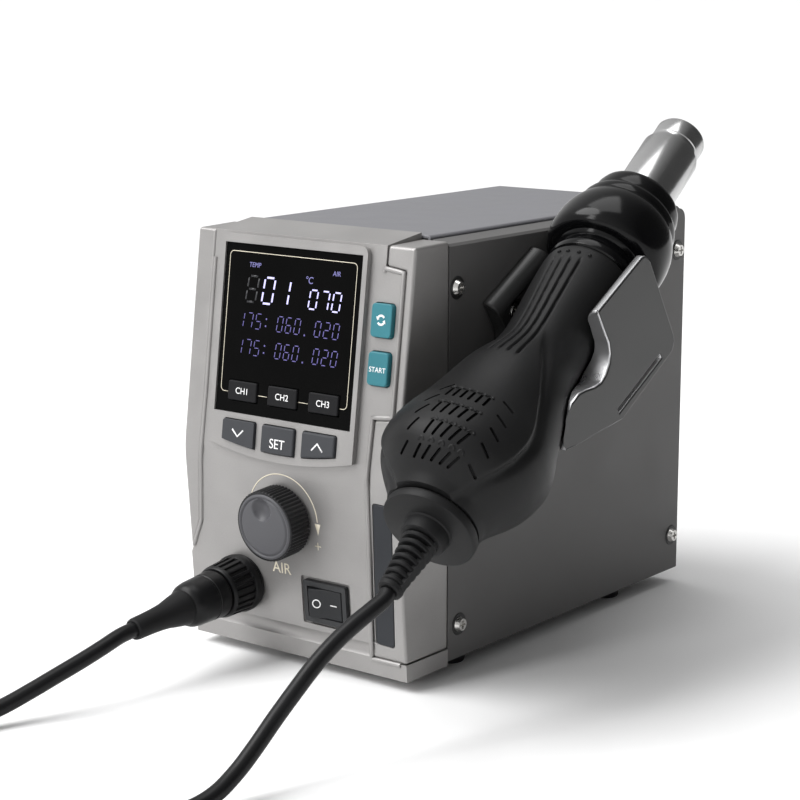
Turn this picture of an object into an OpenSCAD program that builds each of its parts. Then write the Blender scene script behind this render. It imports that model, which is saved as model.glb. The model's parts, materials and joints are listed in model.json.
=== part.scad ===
// Hot air rework station: a slim metal-cased controller with a slanted display panel, an air knob,
// a power rocker and a plugged-in cable, and a blower gun that rests in a holder on its right side.

/* [Case] */
// Width of the case and of the front bezel
case_w = 99; // [90:1:110]
// Depth of the sheet-metal case behind the bezel
case_d = 157; // [140:1:180]
// Height of the side panels' top edge above the table
case_h = 153.5; // [145:0.5:165]
// Thickness of the case's sheet metal
sheet = 1.2; // [1:0.1:2]
// Height of the rubber feet
foot_h = 5.6; // [4:0.5:8]

/* [Front bezel] */
// Height of the crease between the upper and the lower front face
knee_z = 75.5; // [70:0.5:85]
// How far the crease stands out in front of the case
knee_out = 29.2; // [25:0.2:34]
// Backward lean of the upper face, in degrees
upper_tilt = 7.4; // [4:0.1:10]
// Backward lean of the lower face, in degrees
lower_tilt = 4.6; // [2:0.1:8]
// Wall of the moulded bezel
bezel_wall = 2.6; // [2:0.1:3.5]

/* [Display and keys] */
// Width of the raised frame around the display
frame_w = 67; // [60:1:72]
// Height that the display frame stands proud of the face
frame_rise = 2; // [1:0.5:3]
// Travel of a push key
key_travel = 0.8; // [0.4:0.1:1.5]

/* [Controls] */
// Radius of the air knob
knob_r = 12.9; // [10:0.1:15]
// Depth of the air knob
knob_depth = 11; // [8:0.5:14]
// Turn of the air knob from one stop to the other, in degrees
knob_sweep = 280; // [240:5:300]
// Tilt of the power rocker either way, in degrees
rocker_tilt = 9; // [6:1:12]

/* [Gun] */
// Elevation of the gun's axis as it rests, in degrees
gun_rise = 33; // [30:0.5:35]
// Turn of the gun's axis towards the case, in degrees
gun_yaw = 4.5; // [3:0.5:5]
// Radius of the hot air barrel, which a nozzle clamps around
barrel_r = 11; // [10.5:0.1:11.2]
// Radius of the stepped tip of the barrel
tip_r = 9.7; // [9:0.1:10]

/* [Holder] */
// Slope of the holder's channel, in degrees
holder_rise = 29.5; // [26:0.5:33]
// Width of the channel that the gun's neck lies in
channel_w = 37; // [36.5:0.5:38]
// Thickness of the holder's walls
holder_wall = 6; // [5:0.5:8]

/* [Cable] */
// Diameter of the cable between the station and the gun
cable_d = 5.5; // [5:0.5:7]
// Radius of the coil at the middle of its turns
coil_r = 30; // [28:1:32]

/* [Hidden] */
$fn = 48;
eps = 0.02;
gap = 0.3;

// Where the station's own centre line and its case's front edge lie, measured from the origin,
// which is under the middle of the station with its holder and gun
station_x = -28;
station_y = -38.6;

half_w = case_w / 2;
wall_in = half_w - sheet;
base_z = foot_h;
knee_y = -knee_out;
upper_len = (155 - knee_z) / cos(upper_tilt);
lower_len = (knee_z - 4) / cos(lower_tilt);
brow_y = knee_y + upper_len * sin(upper_tilt);
brow_z = 155;
toe_y = knee_y + lower_len * sin(lower_tilt);
toe_z = 4;
knee_r = 50;
crown_z = 157.6;
panel_corner_r = 4.5;
strip_z = 155.4;

// The key outlines on the upper face: middle across, middle up the slope, width, height
ch_key = [13.4, 7, 23.6];
ch_x = [-21.2, -2.5, 16.3];
soft_x = [-21, -2.5, 16];
soft_key = [15, 13.4];
side_key_x = 38.6;
side_key = [8.8, 11.6];
mode_v = 54.8;
start_v = 38.3;
frame_x = -2.5;
frame_v = [0.4, 79.2];
frame_arc_r = 140;
glass_v = [15.6, 76.1];
glass_w = 63;

knob_at = [-2.4, 55.3];
switch_at = [14.7, 26.5];
rocker_axis = -2.2;
socket_at = [-24.4, 28];
coupling_r = 10.7;

gun_butt = [81, -46.6, 75];
cap_s = -9;
neck_s = 116;
collar_s = 125;
collar_end = 160;
seat_s = 161;
shoulder_s = 189.5;
sleeve_r = barrel_r - 0.3;
muzzle_s = 200;
// The handle's outline: distance along the gun and radius
gun_profile = [
    [-5, 16.7], [0, 20.5], [5, 23.8], [11, 26.4], [18, 27.6], [25, 27.5], [31, 26.2], [37, 24.3],
    [47, 21.6], [57, 19.2], [67, 16.6], [77, 15.3], [88, 15.5], [100, 16.3], [110, 16.9], [116, 17]
];
shell_wall = 2.2;
motor_s = 24;
fan_s = 8;

holder_corner = [17.4, 133.6];
holder_bottom = 43;
inner_wall_drop = 2.2;
seat_clear = 0.6;
holder_reach = 37;
holder_x = [half_w, half_w + 2 * holder_wall + channel_w];
channel_x = half_w + holder_wall + channel_w / 2;
channel_axis_w = 12.5;

coil_at = [15, -224];
coil_h = 2 * cable_d + 0.5;
// The cable's lay from the gun's strain relief down to the coil, in the station's frame
gun_leg = [
    [83.4, -76.95, 55.2], [83.6, -79.5, 53.5], [82.6, -84, 51.2], [80.6, -89.8, 47.8], [78.2, -96.7, 43],
    [75.9, -103.8, 37], [73.8, -110.9, 30], [72, -118, 23], [70.6, -125.9, 15.5], [69.4, -133, 9.6],
    [68.4, -141, 5.2], [67, -150, 3.1], [64.5, -160, 2.75], [61, -172, 2.75], [56.5, -185, 2.75],
    [52, -198, 2.75], [48.8, -210, 2.75], [47.8, -221, 2.75]
];
// The cable's lay from the plug's sleeve down to the coil, in the station's frame
plug_leg = [
    [-24.4, -81.4, 23.5], [-24.4, -88.5, 22.8], [-25, -97, 20.4], [-27, -105, 17.4], [-30, -113, 14],
    [-33.2, -121.5, 10.4], [-36.6, -131, 6.8], [-40, -142, 4.2], [-42.6, -153, 3], [-43.6, -164, 2.75],
    [-42, -176, 2.75], [-37.6, -188, 2.75], [-31, -199, 3.2], [-24, -209, 4.8], [-18.6, -219, 7.4]
];

// ---- placing ----
module at_station() translate([station_x, station_y, 0]) children();

module on_upper_face()
    at_station() translate([0, knee_y, knee_z]) rotate([90 - upper_tilt, 0, 0]) children();

// The lower face's own height axis starts at the crease and points up the slope
module on_lower_face(x = 0, z = knee_z)
    at_station() translate([0, knee_y, knee_z]) rotate([90 + lower_tilt, 0, 0])
        translate([x, (z - knee_z) / cos(lower_tilt), 0]) children();

module along_gun(s = 0)
    at_station() translate(gun_butt) rotate([0, 0, gun_yaw]) rotate([gun_rise - 90, 0, 0])
        translate([0, 0, s]) children();

// Holder frame: X across, Y along the channel towards the muzzle, Z square to it and upwards
module at_holder()
    at_station() translate([0, holder_corner[0], holder_corner[1]]) rotate([holder_rise, 0, 0]) children();

// ---- shared shapes ----
module rounded_square(w, h, r) {
    square([w - 2 * r, h], center = true);
    square([w, h - 2 * r], center = true);
    for (sx = [-1, 1], sy = [-1, 1])
        translate([sx * (w / 2 - r), sy * (h / 2 - r)]) circle(r);
}

module rounded_plate(w, h, t, r) linear_extrude(t) rounded_square(w, h, r);

module tube(outer, inner, h) {
    difference() {
        cylinder(r = outer, h = h);
        translate([0, 0, -eps]) cylinder(r = inner, h = h + 2 * eps);
    }
}

module pan_screw(r = 1.5, h = 8, head_r = 3, head_h = 1.8) {
    translate([0, 0, -h]) cylinder(r = r, h = h);
    difference() {
        cylinder(r1 = head_r, r2 = head_r * 0.72, h = head_h);
        for (turn = [0, 90])
            rotate(turn) translate([-head_r * 0.5, -0.35, head_h - 0.9]) cube([head_r, 0.7, 1]);
    }
}

module across(w) translate([-w / 2, 0, 0]) rotate([90, 0, 90]) linear_extrude(w) children();

// ---- front bezel ----
// The bezel's outline seen from the right, inset by t; the top stands at top_z at the back
function bezel_outline(top_z, t) =
    let (
        half_turn = (upper_tilt + lower_tilt) / 2,
        lean = (upper_tilt - lower_tilt) / 2,
        centre = [knee_y, knee_z] + knee_r / cos(half_turn) * [cos(lean), -sin(lean)],
        back = t == 0 ? 0 : 1
    )
    [
        [back, toe_z + t],
        [toe_y + t, toe_z + t],
        for (a = [-lower_tilt:half_turn / 4:upper_tilt + eps]) centre + (knee_r - t) * [-cos(a), sin(a)],
        [brow_y + t, brow_z - t],
        [back, top_z - t]
    ];

module bezel_shell(top_z = crown_z) {
    difference() {
        across(case_w) polygon(bezel_outline(top_z, 0));
        across(case_w - 2 * bezel_wall) polygon(bezel_outline(top_z, bezel_wall));
    }
}

module front_view_prism(points) rotate([90, 0, 0]) translate([0, 0, -10]) linear_extrude(60) polygon(points);

// The regions of the front that the two trims cover, each grown by g
function left_region(g) = [
    [-60, 170], [-41 + g, 170], [-41 + g, 96], [-41.4 + g, knee_z], [-44 + g, 48], [-60, 12 - g]
];
function right_region(g) = [
    [60, 170], [37.8 - g, 170], [37.8 - g, 148 - g], [46 - g, 147 - g], [46 - g, 97 + g],
    [37.6 - g, 96 + g], [34.8 - g, 10.5 - g], [60, 10.5 - g]
];

module frame_outline(grow) {
    mid = (frame_v[0] + frame_v[1]) / 2;
    h = frame_v[1] - frame_v[0];
    intersection() {
        translate([frame_x, mid]) rounded_square(frame_w + 2 * grow, h + 2 * grow, 3 + grow);
        translate([frame_x, frame_v[0] + frame_arc_r]) circle(frame_arc_r + grow, $fn = 180);
    }
}

module key_window(x, v, w, h, clear) translate([x, v]) square([w + 2 * clear, h + 2 * clear], center = true);

module face_key_windows(clear) {
    for (x = ch_x) key_window(x, ch_key[2], ch_key[0], ch_key[1], clear);
    soft_key_outlines(clear);
}

module side_key_windows(clear)
    for (v = [mode_v, start_v]) translate([side_key_x, v])
        rounded_square(side_key[0] + 2 * clear, side_key[1] + 2 * clear, 1.6);

module soft_key_outline(index, clear = 0) {
    intersection() {
        translate([soft_x[index], 13.2 - soft_key[1] / 2])
            rounded_square(soft_key[0] + 2 * clear, soft_key[1] + 2 * clear, 1);
        translate([frame_x, frame_v[0] + frame_arc_r]) circle(frame_arc_r - 3 + clear, $fn = 180);
    }
}

module soft_key_outlines(clear) for (i = [0:2]) soft_key_outline(i, clear);

// A block behind the bezel's side wall that a case screw bites into
module screw_boss(side, place)
    difference() {
        translate([side > 0 ? wall_in - gap - 4 : gap - wall_in, -4, place[1] - 5])
            cube([4, place[0] + 8, 10]);
        translate([side * wall_in, place[0], place[1]]) rotate([0, 90, 0])
            cylinder(r = 1.7, h = 12, center = true);
    }

module front_bezel() {
    color([0.69, 0.675, 0.655])
    at_station() screw_boss(-1, screw_places[1]);
    color([0.69, 0.675, 0.655])
    difference() {
        at_station() bezel_shell();
        at_station() front_view_prism(left_region(gap));
        at_station() front_view_prism(right_region(gap));
        on_upper_face() translate([frame_x, (glass_v[0] + glass_v[1]) / 2, -5])
            linear_extrude(10) square([glass_w - 6, glass_v[1] - glass_v[0] - 6], center = true);
        on_upper_face() translate([0, 0, -5]) linear_extrude(10) soft_key_outlines(gap);
        on_upper_face() translate([0, 0, -5]) linear_extrude(10) side_key_windows(gap);
        on_lower_face(knob_at[0], knob_at[1]) translate([0, 0, -5]) cylinder(r = 3.6, h = 10);
        on_lower_face(socket_at[0], socket_at[1]) translate([0, 0, -5]) cylinder(r = 8.1, h = 10);
        on_lower_face(switch_at[0], switch_at[1]) translate([0, 0, -1.2]) rounded_plate(22.4, 17.8, 5, 0.8);
        on_lower_face(switch_at[0], switch_at[1]) translate([0, 0, -5]) rounded_plate(17.2, 13.2, 10, 0.5);
        on_lower_face(-4, 13) translate([0, 0, 3.1]) rotate([0, 90, 0])
            cylinder(r = 4, h = 84, center = true);
    }
}

module left_trim() {
    color([0.7, 0.685, 0.665])
    at_station() {
        intersection() {
            bezel_shell(strip_z);
            front_view_prism(left_region(0));
        }
        screw_boss(-1, screw_places[0]);
    }
}

module right_trim() {
    color([0.7, 0.685, 0.665])
    at_station() for (place = [screw_places[0], screw_places[1]]) screw_boss(1, place);
    color([0.7, 0.685, 0.665])
    difference() {
        at_station() intersection() {
            bezel_shell(strip_z);
            front_view_prism(right_region(0));
        }
        on_lower_face(41.5, 41.5) rotate(-1.9) translate([0, 0, -0.9]) rounded_plate(8.6, 52, 3, 1.4);
        on_upper_face() translate([0, 0, -5]) linear_extrude(10) side_key_windows(gap);
    }
}

module badge_plate()
    color([0.25, 0.26, 0.29])
    on_lower_face(41.5, 41.5) rotate(-1.9) translate([0, 0, -0.85]) rounded_plate(8, 51.4, 0.9, 1.2);

module display_frame() {
    color([0.68, 0.67, 0.65])
    on_upper_face() difference() {
        translate([0, 0, 0.05]) linear_extrude(frame_rise) frame_outline(0);
        translate([frame_x, (glass_v[0] + glass_v[1]) / 2, -1])
            linear_extrude(5) square([glass_w, glass_v[1] - glass_v[0]], center = true);
        translate([0, 0, -1]) linear_extrude(5) soft_key_outlines(gap);
    }
}

module display_glass() {
    color([0.03, 0.03, 0.035])
    on_upper_face() difference() {
        translate([frame_x, (glass_v[0] + glass_v[1]) / 2, 0.1])
            linear_extrude(1.3) square([glass_w - 0.3, glass_v[1] - glass_v[0] - 0.3], center = true);
        translate([0, 0, -1]) linear_extrude(5)
            for (x = ch_x) key_window(x, ch_key[2], ch_key[0], ch_key[1], 0.25);
    }
}

module display_module()
    color([0.1, 0.12, 0.1])
    on_upper_face() translate([frame_x, 52, -7.5]) rounded_plate(54, 40, 4.2, 1);

module ch_key_body(x)
    color([0.12, 0.12, 0.13])
    on_upper_face() translate([x, ch_key[2], 0]) {
        translate([0, 0, -3.6]) rounded_plate(ch_key[0], ch_key[1], 5.8, 0.7);
        translate([0, 0, -5.2]) cylinder(r = 1.6, h = 1.7);
    }

module ch1_key() ch_key_body(ch_x[0]);
module ch2_key() ch_key_body(ch_x[1]);
module ch3_key() ch_key_body(ch_x[2]);

module soft_key_body(index)
    color([0.3, 0.31, 0.33])
    on_upper_face() {
        translate([0, 0, -3.6]) linear_extrude(6.8) soft_key_outline(index);
        translate([soft_x[index], 8, -5.2]) cylinder(r = 1.6, h = 1.7);
    }

module down_key() soft_key_body(0);
module set_key() soft_key_body(1);
module up_key() soft_key_body(2);

module side_key_body(v)
    color([0.22, 0.52, 0.58])
    on_upper_face() translate([side_key_x, v, 0]) {
        translate([0, 0, -3.6]) rounded_plate(side_key[0], side_key[1], 5.4, 1.5);
        translate([0, 0, -5.2]) cylinder(r = 1.6, h = 1.7);
    }

module mode_key() side_key_body(mode_v);
module start_key() side_key_body(start_v);

module key_board() {
    color([0.1, 0.3, 0.18])
    on_upper_face() {
        translate([0, 38.5, -10.4]) rounded_plate(90, 72, 1.6, 2);
        for (x = ch_x) translate([x, ch_key[2], -8.8]) tact_switch();
        for (x = soft_x) translate([x, 8, -8.8]) tact_switch();
        for (v = [mode_v, start_v]) translate([side_key_x, v, -8.8]) tact_switch();
    }
}

module tact_switch() translate([-3, -3, -eps]) cube([6, 6, 2.4]);

// ---- lower controls ----
module air_knob() {
    color([0.3, 0.31, 0.33])
    on_lower_face(knob_at[0], knob_at[1]) difference() {
        translate([0, 0, 0.7]) rotate_extrude($fn = 96)
            polygon([
                [3.04, 3.4], [7, 3.4], [7, 0], [knob_r - 0.6, 0], [knob_r, 0.6],
                [knob_r, knob_depth - 1], [knob_r - 1, knob_depth],
                [knob_r - 2, knob_depth], [knob_r - 2.5, knob_depth - 0.4], [0, knob_depth - 0.4],
                [0, knob_depth - 2], [3.04, knob_depth - 2]
            ]);
        rotate(4) translate([0, 6.4, knob_depth + 3.1]) sphere(r = 4.4);
    }
}

module knob_pot() {
    color([0.45, 0.45, 0.42])
    on_lower_face(knob_at[0], knob_at[1]) {
        translate([0, 0, -14]) cylinder(r = 8, h = 11);
        translate([0, 0, -3.1]) cylinder(r = 3.4, h = 5.9);
        translate([0, 0, 2.7]) cylinder(r = 3, h = knob_depth - 4.6);
    }
}

module pot_nut()
    color([0.75, 0.75, 0.72])
    on_lower_face(knob_at[0], knob_at[1]) translate([0, 0, 0.05]) difference() {
        cylinder(r = 5.6, h = 2, $fn = 6);
        translate([0, 0, -1]) cylinder(r = 3.42, h = 3);
    }

module switch_frame() {
    color([0.27, 0.28, 0.3])
    on_lower_face(switch_at[0], switch_at[1]) difference() {
        union() {
            translate([0, 0, -1.2]) rounded_plate(19.4, 15.4, 2, 0.8);
            translate([0, 0, -17]) rounded_plate(17, 13, 16, 0.5);
        }
        translate([0, 0, -9]) rounded_plate(15.8, 11.4, 12, 0.3);
    }
    color([0.27, 0.28, 0.3])
    on_lower_face(switch_at[0], switch_at[1]) rocker_axle(1.2, 12.2);
}

module rocker_axle(r, length)
    translate([0, 0, rocker_axis]) rotate([90, 0, 0]) cylinder(r = r, h = length, center = true);

module power_rocker() {
    color([0.2, 0.2, 0.22])
    on_lower_face(switch_at[0], switch_at[1]) difference() {
        translate([0, 0, rocker_axis]) rotate([0, rocker_tilt, 0]) intersection() {
            rotate([90, 0, 0]) cylinder(r = 7.6, h = 10.8, center = true);
            rotate([90, 0, 0]) linear_extrude(10.8, center = true)
                polygon([[-7.5, -1], [-7.5, 3.9], [0, 2.9], [7.5, 3.9], [7.5, -1], [0, -5]]);
        }
        rocker_axle(1.25, 12);
    }
}

module gun_socket() {
    color([0.4, 0.4, 0.42])
    on_lower_face(socket_at[0], socket_at[1]) difference() {
        union() {
            translate([0, 0, 0.05]) cylinder(r = 10.2, h = 1.1);
            translate([0, 0, -14]) cylinder(r = 8, h = 14.1);
            cylinder(r = 8, h = 9.5);
        }
        translate([0, 0, -2]) cylinder(r = 6.6, h = 12);
    }
}

module socket_nut()
    color([0.6, 0.6, 0.6])
    on_lower_face(socket_at[0], socket_at[1]) translate([0, 0, -bezel_wall - 2.4]) tube(10.5, 8.03, 2.2);

module coupling_ring() {
    color([0.09, 0.09, 0.1])
    on_lower_face(socket_at[0], socket_at[1]) difference() {
        translate([0, 0, 1.5]) rotate_extrude($fn = 96)
            polygon([
                [8.06, 0], [coupling_r - 0.5, 0], [coupling_r, 0.5],
                [coupling_r, 2.4], [coupling_r - 0.5, 2.9],
                [9.7, 12.6], [9.2, 13.4], [7.25, 13.4], [7.25, 9.2], [8.06, 9.2]
            ]);
        for (i = [0:11]) rotate(i * 30) translate([coupling_r + 0.4, 0, 4.9]) cylinder(r = 1, h = 8);
    }
}

module plug_body()
    color([0.1, 0.1, 0.11])
    on_lower_face(socket_at[0], socket_at[1]) translate([0, 0, 0.5]) rotate_extrude($fn = 96)
        polygon([
            [0, 0], [6.5, 0], [6.5, 9.6], [7.19, 9.6], [7.19, 14.8], [8.7, 14.8], [8.7, 17], [8.2, 29],
            [7.2, 31.5], [0, 31.5]
        ]);

module plug_sleeve()
    color([0.12, 0.12, 0.13])
    on_lower_face(socket_at[0], socket_at[1]) rotate_extrude($fn = 64)
        polygon([
            [0, 32], [6.2, 32], [5.9, 35], [5, 39], [4.3, 42], [4, 52], [3.7, 57], [0, 57]
        ]);

// ---- cable ----
function unit(v) = v / norm(v);
function heading(path, i) = unit(path[min(i + 1, len(path) - 1)] - path[max(i - 1, 0)]);
function ring(c, t, r, n) =
    let (a = unit(cross(t, [0, 0, 1])), b = cross(a, t))
    [for (k = [0:n - 1]) c + r * (cos(360 * k / n) * a + sin(360 * k / n) * b)];

module swept_cable(path, r, n = 8) {
    rings = len(path);
    points = [for (i = [0:rings - 1]) each ring(path[i], heading(path, i), r, n)];
    sides = [
        for (i = [0:rings - 2], k = [0:n - 1])
        [i * n + k, i * n + (k + 1) % n, (i + 1) * n + (k + 1) % n, (i + 1) * n + k]
    ];
    near_end = [for (k = [n - 1:-1:0]) k];
    far_end = [for (k = [0:n - 1]) (rings - 1) * n + k];
    polyhedron(points, concat(sides, [near_end, far_end]));
}

module cord_plug_leg() color([0.07, 0.07, 0.075]) at_station() swept_cable(plug_leg, cable_d / 2 - 0.05);

module cord_gun_leg() color([0.07, 0.07, 0.075]) at_station() swept_cable(gun_leg, cable_d / 2 - 0.05);

module cord_coil()
    color([0.07, 0.07, 0.075])
    at_station() translate([coil_at[0], coil_at[1], 0]) rotate_extrude($fn = 96)
        translate([coil_r - cable_d, 0]) square([2 * cable_d, coil_h]);

// ---- case ----
module base_plate() {
    color([0.35, 0.35, 0.37])
    at_station() difference() {
        union() {
            translate([-wall_in + gap, 1.5, base_z]) cube([2 * (wall_in - gap), case_d - 3.2, sheet]);
            for (side = [-1, 1])
                translate([side * (wall_in - gap - sheet / 2), case_d / 2, base_z + 5])
                    cube([sheet, case_d - 30, 10], center = true);
        }
        for (p = foot_places) translate([p[0], p[1], base_z - 1]) cylinder(r = 2.1, h = 5);
    }
}

foot_places = [for (x = [-38, 38], y = [16, 120]) [x, y]];

module feet() {
    color([0.06, 0.06, 0.06])
    at_station() for (p = foot_places) translate([p[0], p[1], 0]) {
        cylinder(r1 = 5.6, r2 = 6.6, h = foot_h);
        cylinder(r = 2, h = foot_h + 3);
    }
}

// Side screws: distance behind the bezel and height of each
screw_places = [[4.5, 139], [6.5, 18], [151.5, 137], [152, 20]];

module side_panel(side) {
    at_station() difference() {
        union() {
            translate([side * (half_w - sheet / 2), 0, 0]) across(sheet) panel_outline();
            across_lip(side);
        }
        for (p = screw_places)
            translate([side * half_w, p[0], p[1]]) rotate([0, 90, 0])
                cylinder(r = 1.7, h = 8, center = true);
        if (side > 0) for (d = holder_screw_d) at_holder_local(d)
            rotate([0, 90, 0]) cylinder(r = 2.1, h = 8, center = true);
    }
}

module panel_outline() {
    translate([0, base_z]) square([case_d, case_h - base_z - panel_corner_r]);
    translate([0, base_z]) square([case_d - panel_corner_r, case_h - base_z]);
    translate([case_d - panel_corner_r, case_h - panel_corner_r]) circle(panel_corner_r);
}

// The lip that the side panel turns inwards along its top, sloping up to the top cover
module across_lip(side)
    translate([0, case_d - panel_corner_r, 0]) rotate([90, 0, 0]) linear_extrude(case_d - panel_corner_r)
        polygon([
            [side * half_w, case_h - sheet], [side * half_w, case_h], [side * (half_w - 1), case_h + 0.9],
            [side * 42.2, case_h + 2], [side * 42.2, case_h + 2 - sheet],
            [side * (half_w - sheet), case_h - sheet]
        ]);

module left_side_panel() color([0.3, 0.3, 0.32]) side_panel(-1);
module right_side_panel() color([0.3, 0.3, 0.32]) side_panel(1);

module top_cover() {
    color([0.55, 0.55, 0.57])
    at_station() translate([0, case_d - 1, 0]) rotate([90, 0, 0]) linear_extrude(case_d - 1.2)
        polygon([
            [-41.2, case_h - 2], [-41.2, case_h + 2.5], [-40.4, case_h + 3.2], [40.4, case_h + 3.2],
            [41.2, case_h + 2.5], [41.2, case_h - 2], [40, case_h - 2], [40, case_h + 2],
            [-40, case_h + 2], [-40, case_h - 2]
        ]);
}

inlet_at = [-14, 28];
inlet_hole = [27.4, 20];
inlet_screw_x = 20;

module rear_panel() {
    color([0.3, 0.3, 0.32])
    at_station() for (side = [-1, 1], p = [screw_places[2], screw_places[3]]) difference() {
        translate([side * (wall_in - gap) - (side > 0 ? sheet : 0), case_d - 11, p[1] - 9])
            cube([sheet, 9, 18]);
        translate([side * wall_in, p[0], p[1]]) rotate([0, 90, 0]) cylinder(r = 1.75, h = 9, center = true);
    }
    color([0.3, 0.3, 0.32])
    at_station() translate([0, case_d - 1.5, 0]) rotate([90, 0, 0]) difference() {
        linear_extrude(sheet) {
            translate([gap - wall_in, base_z + 1.4])
                square([2 * (wall_in - gap), case_h - 3.6 - base_z]);
            translate([-39.6, case_h - 4]) square([79.2, 5.7]);
        }
        translate([inlet_at[0], inlet_at[1], -1]) linear_extrude(5) square(inlet_hole, center = true);
        for (s = [-1, 1])
            translate([inlet_at[0] + s * inlet_screw_x, inlet_at[1], -1]) cylinder(r = 1.6, h = 5);
        for (row = [0:5], col = [-1, 1]) translate([col * 17, 78 + 9 * row, -1])
            linear_extrude(5) rounded_square(26, 3, 1.4);
    }
}

module case_screws() {
    color([0.75, 0.75, 0.76])
    at_station() for (side = [-1, 1], p = screw_places)
        translate([side * (half_w + eps), p[0], p[1]]) rotate([0, side * 90, 0])
            pan_screw(r = 1.65, h = 6.5);
}

// ---- inside the case ----
module control_board() {
    color([0.08, 0.32, 0.18])
    at_station() {
        translate([-40, 14, 27]) cube([80, 60, 1.6]);
        translate([-34, 22, 28.55]) cube([18, 18, 3]);
        translate([4, 20, 28.55]) cube([12, 12, 2]);
        translate([22, 26, 28.55]) cube([12, 30, 9]);
        for (x = [-30, -18, -6]) translate([x, 58, 28.55]) cylinder(r = 4, h = 12);
    }
}

module power_module() {
    color([0.75, 0.6, 0.3])
    at_station() {
        translate([-38, 84, 27]) cube([76, 53.5, 1.6]);
        translate([-32, 90, 28.55]) cube([34, 30, 27]);
        translate([10, 92, 28.55]) cube([14, 12, 16]);
        translate([14, 122, 28.55]) cylinder(r = 8, h = 26);
    }
}

standoff_places = [for (x = [-35, 35], y = [20, 68, 90, 134]) [x, y]];

module board_standoffs() {
    color([0.8, 0.75, 0.5])
    at_station() for (p = standoff_places)
        translate([p[0], p[1], base_z + sheet]) cylinder(r = 2.8, h = 27 - base_z - sheet);
}

module heat_sink() {
    color([0.7, 0.7, 0.72])
    at_station() translate([28, 92, 28.6]) {
        cube([3, 40, 34]);
        for (i = [0:4]) translate([2.9, 2 + i * 8.5, 0]) cube([8, 1.6, 34]);
    }
}

module mains_inlet() {
    color([0.08, 0.08, 0.08])
    at_station() translate([inlet_at[0], case_d - 1.5, inlet_at[1]]) rotate([-90, 0, 0]) difference() {
        union() {
            translate([0, 0, 0.05]) rounded_plate(47, 22.5, 2.4, 4);
            translate([0, 0, -17]) rounded_plate(26.6, 19.4, 17.1, 3);
        }
        translate([0, 0, -13]) rounded_plate(24.4, 16.6, 20, 2.5);
        for (s = [-1, 1]) translate([s * inlet_screw_x, 0, -1]) cylinder(r = 1.6, h = 5);
    }
    color([0.8, 0.75, 0.5])
    at_station() translate([inlet_at[0], case_d - 1.5, inlet_at[1]]) rotate([-90, 0, 0])
        for (p = [[-7, 2.6], [7, 2.6], [0, -3.6]])
            translate([p[0] - 1, p[1] - 1.9, -13.1]) cube([2, 3.8, 10.1]);
}

module inlet_screws() {
    color([0.75, 0.75, 0.76])
    at_station() for (s = [-1, 1])
        translate([inlet_at[0] + s * inlet_screw_x, case_d + 0.97, inlet_at[1]]) rotate([-90, 0, 0])
            pan_screw(r = 1.5, h = 7, head_r = 2.8);
}

// ---- holder ----
holder_screw_d = [10, 27];
screw_drop = 12.5;

module at_holder_local(d)
    translate([0, holder_corner[0], holder_corner[1]]) rotate([holder_rise, 0, 0])
        translate([holder_x[0], d, -screw_drop]) children();

// The holder's outline seen from the side: Y along the channel, Z up from its top edge
module holder_outline() {
    polygon([
        [0.4, 0], [32, 0], [34, -0.8], [35.2, -2.6], [36, -5], [holder_reach, -37], [36.4, -40], [34, -42],
        [-5, -holder_bottom], [-16, -38.6], [-30, -33.4], [-37, -30.2], [-37.6, -28],
        [-36.4, -24.6], [-33.4, -21], [-29.6, -18.8], [-26, -17.8], [-21.6, -17.8], [-17.6, -19.4],
        [-13, -21.8], [-9, -23], [-5.6, -22.4], [-2, -20.4], [0.2, -17.6], [1.2, -14], [0.8, -8]
    ]);
}

// The U section: the inner wall stands a little lower than the outer one, both rounded into the channel
module holder_section() {
    difference() {
        union() {
            translate([channel_x, -holder_bottom]) square([holder_x[1] - channel_x, holder_bottom]);
            translate([holder_x[0] + eps, -holder_bottom])
                square([channel_x - holder_x[0], holder_bottom - inner_wall_drop]);
        }
        translate([channel_x, -channel_axis_w]) circle(channel_w / 2, $fn = 96);
        translate([channel_x - channel_w / 2, -channel_axis_w]) square([channel_w, holder_bottom]);
        translate([channel_x + channel_w / 2, 0]) wall_rounding();
        translate([channel_x - channel_w / 2, -inner_wall_drop]) mirror([1, 0]) wall_rounding();
    }
}

module wall_rounding() {
    r = holder_wall - 0.3;
    difference() {
        translate([-r, -r]) square([2 * r, 2 * r]);
        translate([r, -r]) circle(r);
    }
}

// The hollow that the swelling of the gun's handle sinks into
module gun_hollow()
    along_gun() rotate_extrude($fn = 96)
        polygon(concat([[0, gun_profile[3][0]]],
            [for (i = [3:len(gun_profile) - 1]) [gun_profile[i][1] + seat_clear, gun_profile[i][0]]],
            [[0, neck_s]]));

module gun_holder() {
    color([0.45, 0.45, 0.46])
    difference() {
        at_holder() intersection() {
            translate([0, 40, 0]) rotate([90, 0, 0]) linear_extrude(80) holder_section();
            across_holder() holder_outline();
        }
        gun_hollow();
        at_holder() for (d = holder_screw_d) translate([holder_x[0], d, -screw_drop]) rotate([0, 90, 0]) {
            cylinder(r = 2.2, h = 20, center = true);
            translate([0, 0, 3.2]) cylinder(r = 4.2, h = 6);
        }
        at_holder() translate([holder_x[1] - 1.6, -5, -holder_bottom + 3.4]) cube([5, 31, 1.6]);
    }
}

module across_holder() translate([30, 0, 0]) rotate([90, 0, 90]) linear_extrude(90) children();

module holder_screws() {
    color([0.75, 0.75, 0.76])
    at_holder() for (d = holder_screw_d)
        translate([holder_x[0] + 3.25, d, -screw_drop]) rotate([0, 90, 0])
            pan_screw(r = 2, h = 8, head_r = 3.8, head_h = 2.2);
}

// ---- gun ----
function inset(points, t) = [for (p = points) [max(p[1] - t, 1), p[0]]];

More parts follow.
